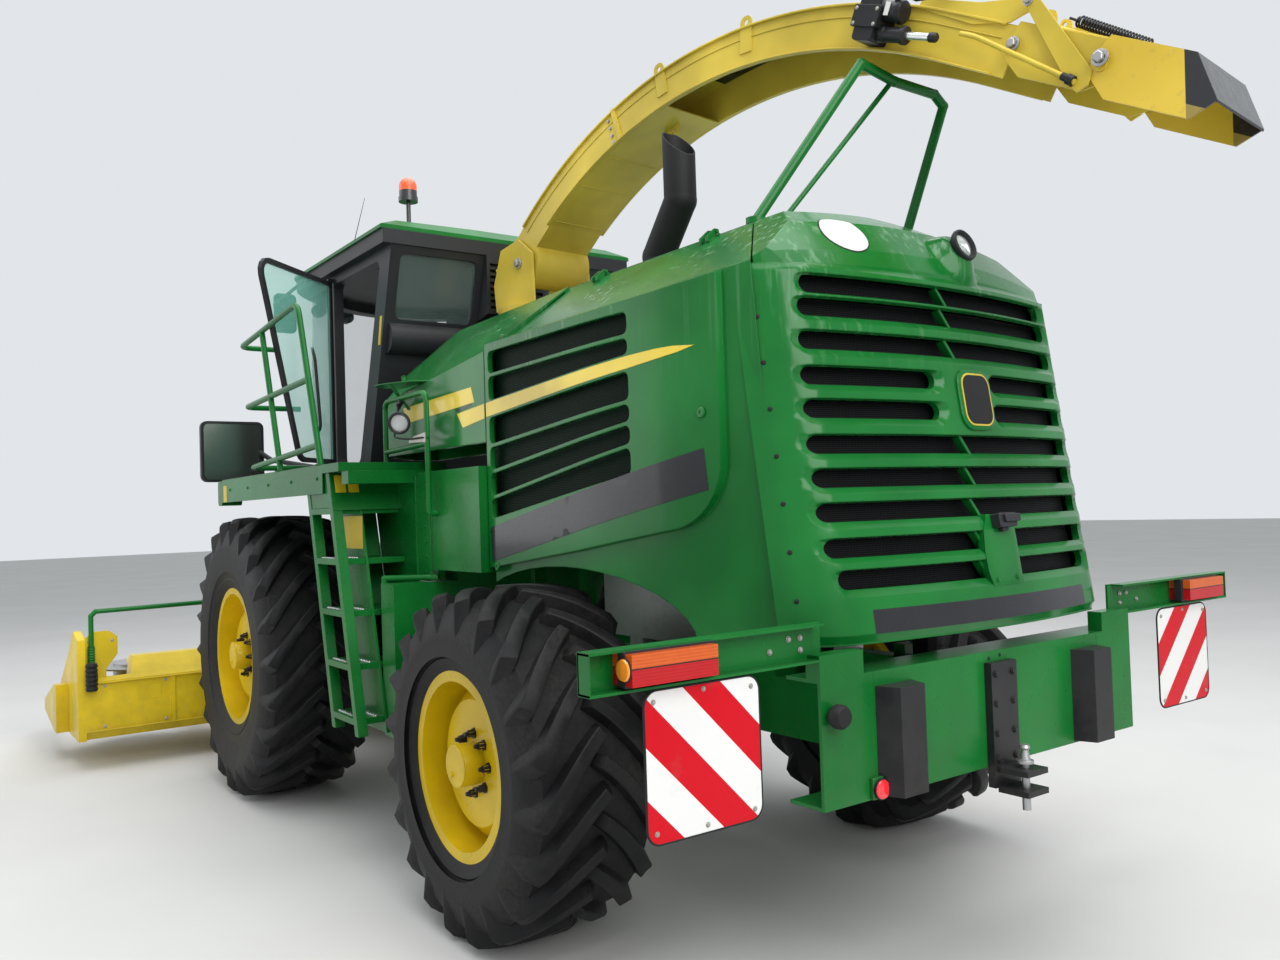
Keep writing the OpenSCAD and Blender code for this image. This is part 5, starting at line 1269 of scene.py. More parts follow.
# %% [markdown]
# ## Lamps, boards and hardware at the rear
#
# The bumper is folded plate. Its details are small turned or cut shapes: reflectors, a rubber stop,
# bolt heads, and the towing pin. The striped boards have rounded corners and a dark edge, so they
# take the place of the packed square ones. A Bevel modifier could round them as well, but an outline
# with rounded corners also gives the path for the edge strip and the places of the bolts.

# %% Striped boards with round corners
board_low, board_high = (np.array(c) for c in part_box("warning_panels"))
BOARD_Y, BOARD_Z, BOARD_HALF = 1.358, 1.006, 0.2115
REAR = board_low[0]
outline = rounded_box(-BOARD_HALF, BOARD_HALF, -BOARD_HALF, BOARD_HALF, 0.045, 8)
boards, board_edges, board_bolts = [], [], []
for side in (1, -1):
    middle = np.array([REAR, side * BOARD_Y, BOARD_Z])
    board = slab(outline, 0.004, lambda a, b, d: tuple(middle + (d, a, b)))
    post = brick(middle + (0.004, -0.02, 0), (REAR + 0.020, side * BOARD_Y + 0.02, board_high[2]))
    boards += [outward(board, -X), post]
    edge_path = [middle + (0.002, a, b) for a, b in resample(outline, 0.03)]
    board_edges.append(sweep(edge_path, circle(0.0036, 8), up=X, closed=True))
    for a, b in ((-.18, .18), (0, .195), (.18, .18), (-.18, -.18), (.18, -.18), (.0, -.19)):
        board_bolts += hexagon_bolt(middle + (0, a, b), -X, 0.007)
piece("striped_boards", boards, striped, replaces=["warning_panels"])
piece("board_edges", board_edges, trim_rubber, "root", "board_white")
piece("board_bolts", board_bolts, zinc)
print("board bolts:", len(board_bolts) // 2)

# %% Lamp bars: end plates, round side reflectors, lamp frames
bumper_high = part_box("rear_bumper")[1]
dome = [(0.030, 0.0), (0.031, 0.004), (0.028, 0.009), (0.016, 0.0115), (0.0, 0.012)]
cup = [(0.033, -0.012), (0.0345, 0.002), (0.0315, 0.004), (0.030, 0.001)]
side_lenses, side_cups, frames, bar_bolts, end_plates = [], [], [], [], []
for side in (1, -1):
    spot = at(-4.556, side * (lamp_high[1] + 0.001), 1.288)
    side_lenses.append(turned(dome, spot, side * Y, 32))
    side_cups.append(turned(cup, spot, side * Y, 32))
    y0, y1 = sorted((side * (lamp_high[1] - 0.30 - 0.012), side * (lamp_high[1] + 0.0005)))
    frame_line = rounded_box(y0 - 0.004, y1 + 0.004, lamp_low[2] - 0.006, lamp_high[2] + 0.006, 0.006)
    frames.append(to_rear(frame_line, lamp_low[0] + 0.060, 0.030))
    places = ((0.93, 1.30), (0.98, 1.30), (1.06, 1.268), (0.93, 1.262))
    bar_bolts += bolts([at(-4.499, side * y, z) for y, z in places], -X, 0.009)
    y = side * (bumper_high[1] - 0.004)
    y0, y1 = sorted((y, y + side * 0.004))
    end_plates.append(brick(at(-4.549, y0, 1.226), at(-4.492, y1, 1.341)))
piece("side_reflectors", side_lenses, amber)
piece("side_reflector_cups", side_cups + frames, black_plastic)
piece("bar_end_plates", end_plates, green)
print("lamp frames:", len(frames))

# %% Bumper: round red reflectors, a rubber stop, holes and the towing hitch
reflectors, cups, brackets, holes = [], [], [], []
for side in (1, -1):
    spot = at(-4.572, side * 0.659, 0.794)
    reflectors.append(turned(dome, spot, -X, 32))
    cups.append(turned(cup, spot, -X, 32))
    brackets.append(brick(at(-4.566, side * 0.659 - 0.034, 0.762),
                          at(-4.5495, side * 0.659 + 0.034, 0.832)))
buffer = [(0.012, 0.0), (0.012, 0.014), (0.034, 0.016), (0.038, 0.024), (0.038, 0.046), (0.030, 0.058),
          (0.0, 0.060)]
for y, z in ((0.045, 1.142), (-0.020, 1.148)):
    holes.append(turned([(0.007, 0.0), (0.007, 0.0006), (0.0, 0.0006)], at(-4.5502, y, z), -X, 16))
piece("rear_reflectors", reflectors, red_reflector)
piece("rear_reflector_cups", cups + holes, trim_rubber)
piece("rear_reflector_brackets", brackets, green, bevel=0.003)
piece("rubber_stops", turned(buffer, at(-4.5505, 0.855, 1.055), -X, 28), trim_rubber)
hitch_bolts = [at(-4.5805, y, z) for y in (-0.050, 0.050) for z in (1.09, 0.985, 0.88, 0.79)]
pin = [(0.0, -0.150), (0.0146, -0.150), (0.0146, 0.012), (0.030, 0.014), (0.030, 0.024), (0.018, 0.030),
       (0.012, 0.060), (0.020, 0.068), (0.016, 0.078), (0.0, 0.080)]
piece("hitch_pin", turned(pin, at(-4.650, 0, 0.767), Z, 24), steel)
piece("hitch_bolts", bolts(hitch_bolts, -X, 0.012), black, "root", "worn_steel")
folds = [brick(at(-4.5506, y - 0.002, 0.765), at(-4.5499, y + 0.002, 1.163)) for y in (0.655, -0.655)]
piece("bumper_folds", folds, green)
piece("bar_bolts", bar_bolts, zinc)
print("rear dressed")

# %% [markdown]
# ## Cab, platform and ladder
#
# Small things make the scale of a cab readable: mirror faces, an aerial, the grip of the door, bent
# handrails, grip plates on the deck, and blank labels beside the ladder. The mirrors' arms
# and heads are packed, so only a bright face and a rubber rim are laid into each head. The aerial
# starts where a ray from above meets the roof, which saves measuring the roof's slope.

# %% Mirror faces and aerial
MIRRORS = ((0.970, 0.995, 1.405, 2.025, 2.435, 0.04), (0.865, 0.762, 0.898, 3.122, 3.388, 0.03))
faces, rims = [], []
for side in (1, -1):
    for x, y0, y1, z0, z1, r in MIRRORS:
        outline = rounded_box(*sorted((side * y0, side * y1)), z0, z1, r)
        back = x + AXLE_X
        faces.append(to_rear(outline, back - 0.0004, 0.002))
        path = [(back - 0.002, a, b) for a, b in resample(outline, 0.03)]
        rims.append(sweep(path, circle(0.0045, 8), up=X, closed=True))
piece("mirror_faces", faces, mirror_glass)
piece("mirror_rims", rims, trim_rubber)
foot = np.array(Skin("cab_roof").tree.ray_cast(Vector(at(-0.15, 0.70, 5)), Vector(-Z))[0])
lean = np.array([-0.16, -0.04, 0.34])
mast = foot + np.linspace(0, 1, 12)[:, None] * lean
boot = [(0.0, -0.004), (0.022, -0.002), (0.020, 0.010), (0.010, 0.022), (0.007, 0.050), (0.0, 0.052)]
piece("aerial", [sweep(mast, circle(0.0032, 8), up=X, scale=np.linspace(1, 0.45, 12)),
                 turned(boot, foot, lean, 20)], trim_rubber)
print("aerial foot at", foot.round(3))

# %% [markdown]
# The cab door stands open in the photograph, so nothing on it is square to the machine. Its own
# directions could be typed in as an angle. They are measured from the packed glass instead: the
# longest direction of its points, seen from above, runs along the door.

# %% The open door's own directions, and its grip
points = np.array([v.co[:] for v in nodes["door_glass"].data.vertices])
swing = points[:, :2] - points[:, :2].mean(0)
along_door = np.linalg.svd(swing, full_matrices=False)[2][0]
along_door = np.array([*along_door, 0.0]) * (1 if along_door[0] > 0 else -1)
off_door = np.cross(along_door, Z)
off_door = off_door if off_door[1] < 0 else -off_door
middle = np.array([*points[:, :2].mean(0), 0.0])


def on_door(along, out, z):
    """A place on the open door: along it from its middle, out from its inner face, and a height."""
    return middle + along * along_door + out * off_door + (0, 0, z)


handle = [on_door(*p) for p in ((0.30, -0.012, 2.28), (0.27, 0.030, 2.31), (0.22, 0.030, 2.74),
                                (0.26, -0.012, 2.82))]
piece("door_grip", sweep(rounded_path(handle, 0.03), circle(0.010, 10)), black_plastic, "door")
print("door along", along_door.round(3))

# %% [markdown]
# A work lamp hangs from the grab rail on a bent strap. Its cable sags to a clamp on a small plate. A
# cloth or rope simulation isn't needed for 0.4 m of cable: five points bent smoothly look the same.

# %% Side lamp on the grab rail, with its bracket, cable and clamp plate


def strap(path, half_across, half_up):
    """A flat bar carried along a path."""
    a, b = half_across, half_up
    return sweep(path, [(-a, -b), (a, -b), (a, b), (-a, b)])


lamp_at = at(-1.880, 1.125, 2.195)
round_lamp("side_work_lamp", lamp_at, unit((-0.86, 0.50, -0.10)), 0.047, "root", 0.045)
bracket = [at(-1.820, 1.085, 2.318), at(-1.815, 1.100, 2.290), at(-1.830, 1.115, 2.25),
           lamp_at + (0.035, -0.022, 0.0)]
piece("side_lamp_bracket", strap(bracket, .003, .016), black)
wire = [lamp_at + (0.045, -0.02, -0.01), at(-1.78, 1.112, 2.135), at(-1.93, 1.11, 2.110),
        at(-2.10, 1.100, 2.105), at(-2.135, 1.085, 2.10)]
piece("side_lamp_wire", hose(wire, 0.0045, 0.02, 8), trim_rubber)
plate_outline = [(-2.128, 2.080), (-2.128, 2.130), (-1.99, 2.118), (-1.93, 2.100), (-1.93, 2.090),
                 (-1.99, 2.088)]
piece("side_lamp_plate", to_left(along_x(plate_outline), 1.096, 0.003), zinc)
print("side lamp at", lamp_at.round(3))

# %% Shelf beside the cowl, with its stay
shelf = [(-1.96, 0.985), (-1.90, 1.06), (-1.70, 1.135), (-1.60, 1.150), (-1.56, 1.10), (-1.60, 0.985)]
shelf_sheet = slab(along_x(rounded_path(shelf, 0.05, 6)), 0.006,
                   lambda a, b, d: (a, b, 2.405 + 0.05 * (b - 1.0) + d))
piece("cowl_shelf", outward(shelf_sheet, Z), green, bevel=0.002)
knob = [(0, 0), (0.012, 0), (0.012, 0.03), (0.016, 0.035), (0.0, 0.04)]
piece("shelf_stay", [strap([at(-1.72, 0.990, 2.27), at(-1.72, 1.10, 2.408)], .015, .003),
                     turned(knob, at(-1.80, 1.06, 2.411), Z, 16)], green)
print("shelf outline:", len(shelf_sheet[0]) // 2, "points")

# %% [markdown]
# The rails round the deck are one tube each, bent cold over a former, so every corner has the same
# generous radius. The packed rails have straight runs with sharp corners. The bent ones take their
# place, because a rounded corner is what the light picks out.

# %% Handrails as bent tubes, with their ends turned in round the front of the deck
RAIL_Y, GRAB_Y = 1.400, 1.085       # the rails beside the deck, and the grab rail by the ladder
foot, head = np.array([-1.490, RAIL_Y, 2.0]), np.array([-1.170, RAIL_Y, 2.910])
deck_runs = [([foot, head, (-0.030, RAIL_Y, 2.830), (-0.030, 1.190, 2.830)], 0.07),
             ([(-0.805, RAIL_Y, 2.0), (-0.500, RAIL_Y, 2.850)], 0.03),
             ([foot + 0.52 * (head - foot), (-0.125, RAIL_Y, 2.437), (-0.125, 1.060, 2.437)], 0.06),
             ([foot + 0.12 * (head - foot), (-0.220, RAIL_Y, 2.050), (-0.220, 1.060, 2.050)], 0.06)]
grab_runs = [([(-1.600, GRAB_Y, 1.990), (-1.600, GRAB_Y, 2.330), (-2.120, GRAB_Y, 2.330),
               (-2.120, GRAB_Y, 1.730), (-2.120, 1.041, 1.730)], 0.05),
             ([(-1.600, GRAB_Y, 2.062), (-2.120, GRAB_Y, 2.075)], 0.03)]
tubes = [sweep(rounded_path([at(*p) for p in points], bend), circle(radius, 12))
         for runs, radius in ((deck_runs, 0.017), (grab_runs, 0.014)) for points, bend in runs]
collar = [(0.0, 0.0), (0.034, 0.0), (0.034, 0.006), (0.019, 0.007), (0.0, 0.007)]
collars = [turned(collar, at(x, RAIL_Y, 2.0003), Z, 20) for x in (-1.490, -0.805)]
piece("bent_handrails", tubes + collars, green, replaces=["handrails"], sharp=60)
print("rails:", len(tubes))

# %% [markdown]
# The ladder leans, and behind it lies a folded well with treads that go on inwards. Everything in it
# leans at the ladder's slope, so one function gives the ladder's rear edge at a height, and each
# plate is cut over (y, z) and set against that edge.


# %% Step well: treads to the inner side, the panel above them, and the wall behind the ladder
LADDER_FOOT = np.array([-1.960, 1.360, 0.660])
LADDER_RISE = np.array([0.330, 0, 1.2897])      # from its foot to its head
LADDER_SLOPE = 0.2559                           # forwards for each metre up
TREADS = [0.04 + 0.2 * k for k in range(5)]     # their places, as parts of the rise
LABEL = 0.0008                                  # how thick a label is


def rear_edge(z):
    """Place of the leaning ladder's rear edge at a height."""
    return AXLE_X + LADDER_FOOT[0] + LADDER_SLOPE * (z - LADDER_FOOT[2])


def leaning(outline, deeper, thick):
    """A plate that leans with the ladder, `deeper` in front of its rear edge."""
    return outward(slab(outline, thick, lambda a, b, d: (rear_edge(b) + deeper - d, a, b)), -X)


well = []
for part in TREADS:
    foot_z = LADDER_FOOT[2] + LADDER_RISE[2] * part
    x, z = rear_edge(foot_z) + 0.020, foot_z + 0.028
    well.append(brick((x, 1.050, z - 0.004), (x + 0.325, 1.252, z)))
    well.append(brick((x - 0.001, 1.050, z - 0.030), (x + 0.003, 1.252, z)))
well.append(leaning([(1.044, 1.762), (1.408, 1.762), (1.408, 1.953), (1.044, 1.953)], 0, 0.006))
well.append(leaning([(1.044, 0.680), (1.254, 0.680), (1.254, 1.938), (1.044, 1.938)], 0.357, 0.006))
wall = [(-2.049, 1.392), (-2.049, 1.938), (-1.300, 1.938), (-1.620, 0.680), (-1.888, 0.680),
        (-1.888, 1.392)]
strip = [(-1.900, 1.400), (-1.885, 1.400), (-1.885, 1.930), (-1.900, 1.930)]
well += [to_left(along_x(wall), 1.042, 0.006), to_left(along_x(strip), 1.048, 0.010)]
piece("step_well", well, green, bevel=0.001)
hinge_line = [at(-1.9925, 1.0484, z) for z in np.arange(1.44, 1.93, 0.075)]
piece("well_screws", bolts(hinge_line, Y, 0.006), green)
print("treads:", len(TREADS), "screws:", len(hinge_line))

# %% Blank labels by the ladder, on the cab's pillar and on the platform's side
label_sets = [to_left(along_x(rounded_box(-1.700, -1.400, 1.560, 1.730, 0.006)), 1.2642, LABEL)]
for y0 in (1.330, 1.262):
    label_sets.append(leaning(rounded_box(y0, y0 + 0.056, 1.852, 1.942, 0.004), -0.0062, LABEL))
pillar = Skin("cab_shell").lay(X, Z, -Y, (0, 2, 0), 1.0)
pillar_line = along_x([(-0.905, 2.76), (-0.872, 2.76), (-0.912, 2.93), (-0.945, 2.93)])
label_sets.append(sticker(pillar, pillar_line, Y, 0.0012))
label_sets.append(to_left(along_x(rounded_box(0.300, 0.380, 1.852, 1.960, 0.004)), 1.4203, LABEL))
piece("blank_labels", label_sets, warning_yellow)
print("labels:", len(label_sets))

# %% [markdown]
# Where feet go, steel is rolled with crossed ribs or punched into toothed collars. The ribs are too
# many and too low to model, so they are a relief in the material. The teeth show their outline
# against the light, so they are real rings.


# %% Grip plates on the deck, and raised teeth on the treads
def grip_material():
    """Rolled grip plate: short raised ribs that stand crosswise in turn."""
    m = Material("grip plate", (0.05, 0.055, 0.055), 0.45, metal=0.5)
    u, v = (m.x + m.y) * 26.0, (m.x - m.y) * 26.0
    first = abs(u.math("FRACT") - 0.5).under(0.10) * abs(v.math("FRACT") - 0.5).under(0.36)
    second = abs(v.math("FRACT") - 0.5).over(0.40) * abs(u.math("FRACT") - 0.5).over(0.16)
    rib = first.math("MAXIMUM", second)
    dirt = m.noise(7, 5).rise(0.4, 0.75)
    m.set("Base Color", m.mix(dirt * 0.6, m.mix(rib, (0.040, 0.042, 0.042), (0.12, 0.12, 0.12)),
                              (0.10, 0.09, 0.075)))
    m.set("Roughness", (dirt * 0.3 - rib * 0.1 + 0.42).limit())
    m.bump(rib, 0.0015)
    return m.made


grip_plate = grip_material()
mats = []
for y0, y1, x0, x1 in ((0.850, 1.410, -1.54, 0.41), (-1.335, -0.850, -1.49, 0.41)):
    mats.append(to_top(along_x([(x0, y0), (x1, y0), (x1, y1), (x0, y1)]), 2.0004, 0.003))
piece("deck_grip", mats, grip_plate, "root", "frame_black")
tooth, teeth = [(0.011, 0.0), (0.009, 0.005), (0.006, 0.005), (0.005, 0.0005)], []
for part in TREADS:
    base = LADDER_FOOT + LADDER_RISE * part
    for j in range(9):
        x = base[0] + 0.045 + 0.035 * j
        teeth += [turned(tooth, at(x, y, base[2] + 0.030), Z, 10)
                  for y in (base[1] + 0.018, base[1] - 0.060)]
piece("step_teeth", teeth, steel)
print("teeth:", len(teeth))

# %% Bolts along the apron
apron_bolts = [at(x, 1.4202, 1.93) for x in (-1.48, -1.05, -0.62, -0.19, 0.22)]
piece("apron_bolts", bolts(apron_bolts, Y, 0.009), green)

# %% [markdown]
# ## The spout
#
# The spout is a bent box of sheet steel, open below. Everything on it is drawn in the spout's own
# plane: a distance from its turret, a height, and a place to the left of the middle. One function leads
# from there to the machine, which also carries the angle at which the spout is parked. Parenting all
# this to a turned Empty would do the same, but then no number would tell where a bolt really is.

# %% The spout's own plane
YAW = math.radians(6)
ARC_MIDDLE, ARC_R, ARC_END = np.array([1.660, 1.395]), 2.55, math.radians(30)
WALL = 0.190


def on_spout(s, left, z):
    """Turret, plus the reach along the parked direction, plus the place to the left across it."""
    s, left, z = np.broadcast_arrays(*(np.asarray(v, float) for v in (s, left, z)))
    x = -1.45 + AXLE_X - s * math.cos(YAW) - left * math.sin(YAW)
    return np.stack([x, -s * math.sin(YAW) + left * math.cos(YAW), z], -1)


SPOUT_LEFT = unit(on_spout(0, 1, 0) - on_spout(0, 0, 0))


print("to the spout's left:", SPOUT_LEFT.round(3))


# %% Lines, plates and pins in that plane
def spout_line(drop, start=-36.0, run=0.33, n=60):
    """Places (s, z) along the arc and its straight end, `drop` below the outer edge."""
    a = np.radians(np.linspace(start, 30, n))
    arc = ARC_MIDDLE + (ARC_R - drop) * np.stack([np.sin(a), np.cos(a)], -1)
    ahead = np.array([math.cos(ARC_END), -math.sin(ARC_END)])
    return np.vstack([arc, arc[-1] + run * ahead])


def plate(outline, left, thick):
    """A plate whose outline lies in the spout's plane, growing outwards from `left`."""
    side = 1 if left > 0 else -1
    shape = slab(outline, thick, lambda a, b, d: tuple(on_spout(a, left + side * d, b)))
    return outward(shape, side * SPOUT_LEFT)


def stud(s, z, left, r, length=0.02):
    """A round pin end with a hexagon head, standing out of a wall."""
    side = 1 if left > 0 else -1
    spot, along = on_spout(s, left, z), side * SPOUT_LEFT
    collar = [(0, 0), (1.5 * r, 0), (1.5 * r, 0.3 * length), (r, 0.35 * length)]
    head = [(r, 0.3 * length), (r, 0.9 * length), (0.8 * r, length), (0, length)]
    return [turned(collar, spot, along, 24), turned(head, spot, along, 6)]


print("arc radius", ARC_R)

# %% [markdown]
# The spout is folded from sheet: its lower edges carry long lips, and two shells meet in a bolted
# joint.
# Its open inside gets a nearly black sheet as painted shade. The lips are straps swept along the same
# arc as the packed walls, so they can't drift from them.

# %% Lips, joint bolts and the underside
lips = []
for side in (1, -1):
    for drop, width, high in ((0.182, 0.022, 0.008), (0.003, 0.014, 0.010), (0.052, 0.004, 0.006)):
        line = spout_line(drop, *((-34.0, 0.28) if drop > 0.1 else (-38.0, 0.26)))
        path = on_spout(line[:, 0], side * (WALL - 0.001 + 0.5 * width), line[:, 1])
        lips.append(strap(path, width / 2, high / 2))
piece("spout_lips", lips, yellow, "spout", bevel=0.002)
joint = np.radians(-17.3)
joint_bolts = []
for side in (1, -1):
    for drop in (0.03, 0.075, 0.12, 0.16):
        for shift in (-0.028, 0.028):
            s, z = ARC_MIDDLE + (ARC_R - drop) * np.array([math.sin(joint), math.cos(joint)])
            s, z = s + shift * math.cos(joint), z - shift * math.sin(joint)
            joint_bolts += stud(s, z, side * (WALL - 0.001), 0.008, 0.010)
    joint_bolts += stud(0.060, 3.190, side * (WALL + 0.026), 0.022, 0.022)
piece("spout_bolts", joint_bolts, zinc, "spout")
print("lips:", len(lips), "studs:", len(joint_bolts) // 2)


# %% Painted shade inside the spout
def spout_shade_paint():
    """Painted shade of the spout's open inside: nearly black, with lighter patches here and there."""
    m = Material("painted shade in the spout", (0.016, 0.016, 0.017), 0.4, metal=0.2)
    # Nearly black all over: painted shade of the open inside, whose own finish is the yellow paint.
    m.set("Base Color", m.mix(m.noise(9, 4).rise(0.45, 0.7), (0.010, 0.010, 0.011),
                              (0.06, 0.058, 0.045)))
    m.set("Roughness", m.noise(14, 3) * 0.4 + 0.25)
    m.bump(m.noise(60, 3), 0.0006)
    return m.made


spout_shade_material = spout_shade_paint()
line = spout_line(0.0125, -6.0, 0.30)
across = np.linspace(-WALL + 0.010, WALL - 0.010, 9)
roof = on_spout(line[:, None, 0], across[None], line[:, None, 1])
# A nearly black sheet under the spout's roof: painted shade of its open inside.
piece("spout_shade_sheet", outward(grid(roof), -Z), spout_shade_material, "spout", "yellow_paint")
print("lining:", roof.shape[:2], "points")

# %% Weld seams across the closed underside
seams = []
for a in np.radians([-33, -26, -20]):
    s, z = ARC_MIDDLE + (ARC_R - 0.186) * np.array([math.sin(a), math.cos(a)])
    seams.append(sweep(on_spout(s, np.linspace(-0.17, 0.17, 12), z), circle(0.004, 6)))
piece("spout_seams", seams, yellow, "spout")
print("seams:", len(seams))

# %% [markdown]
# An electric actuator on the left wall pushes the rod that tilts the last deflector. It is a case
# with a saddle, a motor can and a guide tube, all on one axis along the spout, so they are turned
# about that axis. Its cable leaves in a loop, because it has to follow the rod's travel.

# %% Actuator on the left wall, with its rod and its cable
MOTOR = math.radians(23)
motor_middle = ARC_MIDDLE + (ARC_R - 0.09) * np.array([math.sin(MOTOR), math.cos(MOTOR)])


def by_motor(along, left, up):
    """A place on the actuator: along the spout, out from the wall, and away from the arc's middle."""
    along, left, up = np.broadcast_arrays(*(np.asarray(v, float) for v in (along, left, up)))
    s = motor_middle[0] + along * math.cos(MOTOR) + up * math.sin(MOTOR)
    z = motor_middle[1] - along * math.sin(MOTOR) + up * math.cos(MOTOR)
    return on_spout(s, WALL - 0.001 + left, z)


ALONG = unit(by_motor(1, 0, 0) - by_motor(0, 0, 0))
case_parts = [outward(slab(outline, thick, lambda a, b, d: tuple(by_motor(a, d, b))), SPOUT_LEFT)
              for outline, thick in ((rounded_box(-0.060, 0.040, -0.080, 0.090, 0.016), 0.108),
                                     (rounded_box(-0.075, 0.055, -0.030, 0.055, 0.006), 0.118))]
can = [(0.0, 0.03), (0.046, 0.03), (0.046, 0.045), (0.043, 0.047), (0.043, 0.110), (0.047, 0.112),
       (0.047, 0.124), (0.041, 0.134), (0.015, 0.140), (0.0, 0.140)]
tube = [(0.0, 0.03), (0.034, 0.03), (0.034, 0.070), (0.030, 0.074), (0.030, 0.150), (0.036, 0.152),
        (0.036, 0.170), (0.024, 0.176), (0.016, 0.176)]
rod = [(0.0155, 0.17), (0.0155, 0.290), (0.0, 0.290)]
knuckle = [(0.0, 0.284), (0.019, 0.284), (0.019, 0.312), (0.014, 0.318), (0.0, 0.318)]
rod_line = by_motor(0, 0.055, -0.040)
case_parts += [turned(can, by_motor(0, 0.060, 0.046), ALONG, 32), turned(tube, rod_line, ALONG, 32),
               turned(knuckle, rod_line, ALONG, 24)]
piece("spout_actuator", case_parts, black, "spout", "black_plastic", bevel=0.003)
piece("actuator_rod", turned(rod, rod_line, ALONG, 24), chrome, "spout")
label = slab(rounded_box(-0.012, 0.012, -0.026, 0.026, 0.002), 0.0006,
             lambda a, b, d: tuple(by_motor(0.078 + a, 0.1035 + d, 0.046 + b)))
piece("actuator_label", outward(label, SPOUT_LEFT), white_plate, "spout", "black_plastic")
cable = [by_motor(*p) for p in ((0.105, 0.09, 0.075), (0.13, 0.10, 0.11), (0.19, 0.08, 0.09),
                                (0.26, 0.03, 0.13), (0.33, 0.005, 0.15), (0.36, -0.02, 0.135))]
piece("actuator_hose", hose(cable, 0.009), trim_rubber, "spout")
case_bolts = [by_motor(a, 0.1185, b) for a, b in ((-.062, .04), (-.062, -.018), (.042, .04),
                                                  (.042, -.018))]
piece("actuator_bolts", bolts(case_bolts, SPOUT_LEFT, 0.007), zinc, "spout")
print("actuator at", by_motor(0, 0, 0).round(3))

# %% [markdown]
# At the spout's end two deflectors hang on pins between levers, and a spring takes up the play. The
# levers are flat plates with their outlines read from the photograph, and the spring is a true coil.
# A bump on a cylinder would be lighter, but the gaps between the turns show against the sky.

# %% Levers, links and pins at the spout's end
PIN_A, PIN_B, APEX = (3.193, 3.377), (3.513, 3.208), (3.261, 3.508)
upper_arm = [(2.790, 3.670), (2.812, 3.700), (2.870, 3.676), (3.060, 3.590), (3.240, 3.538),
             (3.285, 3.515), (3.280, 3.486), (3.235, 3.480), (3.170, 3.470), (3.020, 3.520)]
down_arm = [(3.235, 3.530), (3.290, 3.525), (3.478, 3.180), (3.462, 3.135), (3.420, 3.120),
            (3.395, 3.150)]
arms, pins, inner_arms = [], [], []
for side in (1, -1):
    arms.append(plate(upper_arm, side * (WALL - 0.001), 0.007))
    inner_arms.append(plate(down_arm, side * (WALL + 0.028), 0.008))
    pins += stud(*PIN_A, side * (WALL + 0.026), 0.017, 0.026)
    pins += stud(*PIN_B, side * (WALL + 0.044), 0.020, 0.028)
    pins += stud(*APEX, side * (WALL + 0.034), 0.013, 0.020)
piece("spout_end_plates", arms, yellow, "spout", bevel=0.001)
piece("deflector_arms", inner_arms, yellow, "deflector_1", bevel=0.001)
piece("deflector_pins", pins, steel, "deflector_1")
side_rod = [on_spout(s, WALL + out, z) for s, out, z in ((2.985, 0.030, 3.490), (3.05, 0.046, 3.452),
                                                         (3.36, 0.046, 3.205), (3.42, 0.046, 3.155))]
rod_tube = sweep(rounded_path(side_rod, 0.04), circle(0.010, 12))
piece("deflector_side_rod", rod_tube, yellow, "deflector_1")
clevis = [(0.0, 0.0), (0.014, 0.0), (0.014, 0.022), (0.019, 0.026), (0.019, 0.05), (0.0, 0.05)]
direction = unit(side_rod[3] - side_rod[2])
fork = turned(clevis, side_rod[3] - 0.055 * direction, direction, 20)
piece("deflector_clevis", fork, black, "deflector_1", "black_plastic")
print("pins:", len(pins) // 2)


# %% The spring, and the yellow tip with its painted shade
def coil(a, b, r, wire, turns):
    """A closed spring from a to b: a circle of radius r, carried along `turns` times."""
    a, b = np.asarray(a, float), np.asarray(b, float)
    axis = unit(b - a)
    side = unit(np.cross(axis, (0.2, 0.3, 1.0)))
    other = np.cross(axis, side)
    t = np.linspace(0, 1, turns * 14)
    angle = 2 * math.pi * turns * t
    fade = np.minimum(1, np.minimum(t, 1 - t) * turns * 0.9)[:, None]
    ring = np.cos(angle)[:, None] * side + np.sin(angle)[:, None] * other
    path = a + (b - a) * t[:, None] + r * fade * ring
    return sweep(path, circle(wire, 6), up=tuple(axis))


spring_a, spring_b = on_spout(3.330, 0.05, 3.470), on_spout(3.640, 0.05, 3.245)
along = unit(spring_b - spring_a)
piece("deflector_spring", [coil(spring_a + 0.03 * along, spring_b - 0.03 * along, 0.019, 0.0042, 26),
                           sweep(np.array([spring_a, spring_a + 0.035 * along]), circle(0.005, 8)),
                           sweep(np.array([spring_b - 0.035 * along, spring_b]), circle(0.005, 8))],
      black, "deflector_1", "worn_steel", sharp=80)


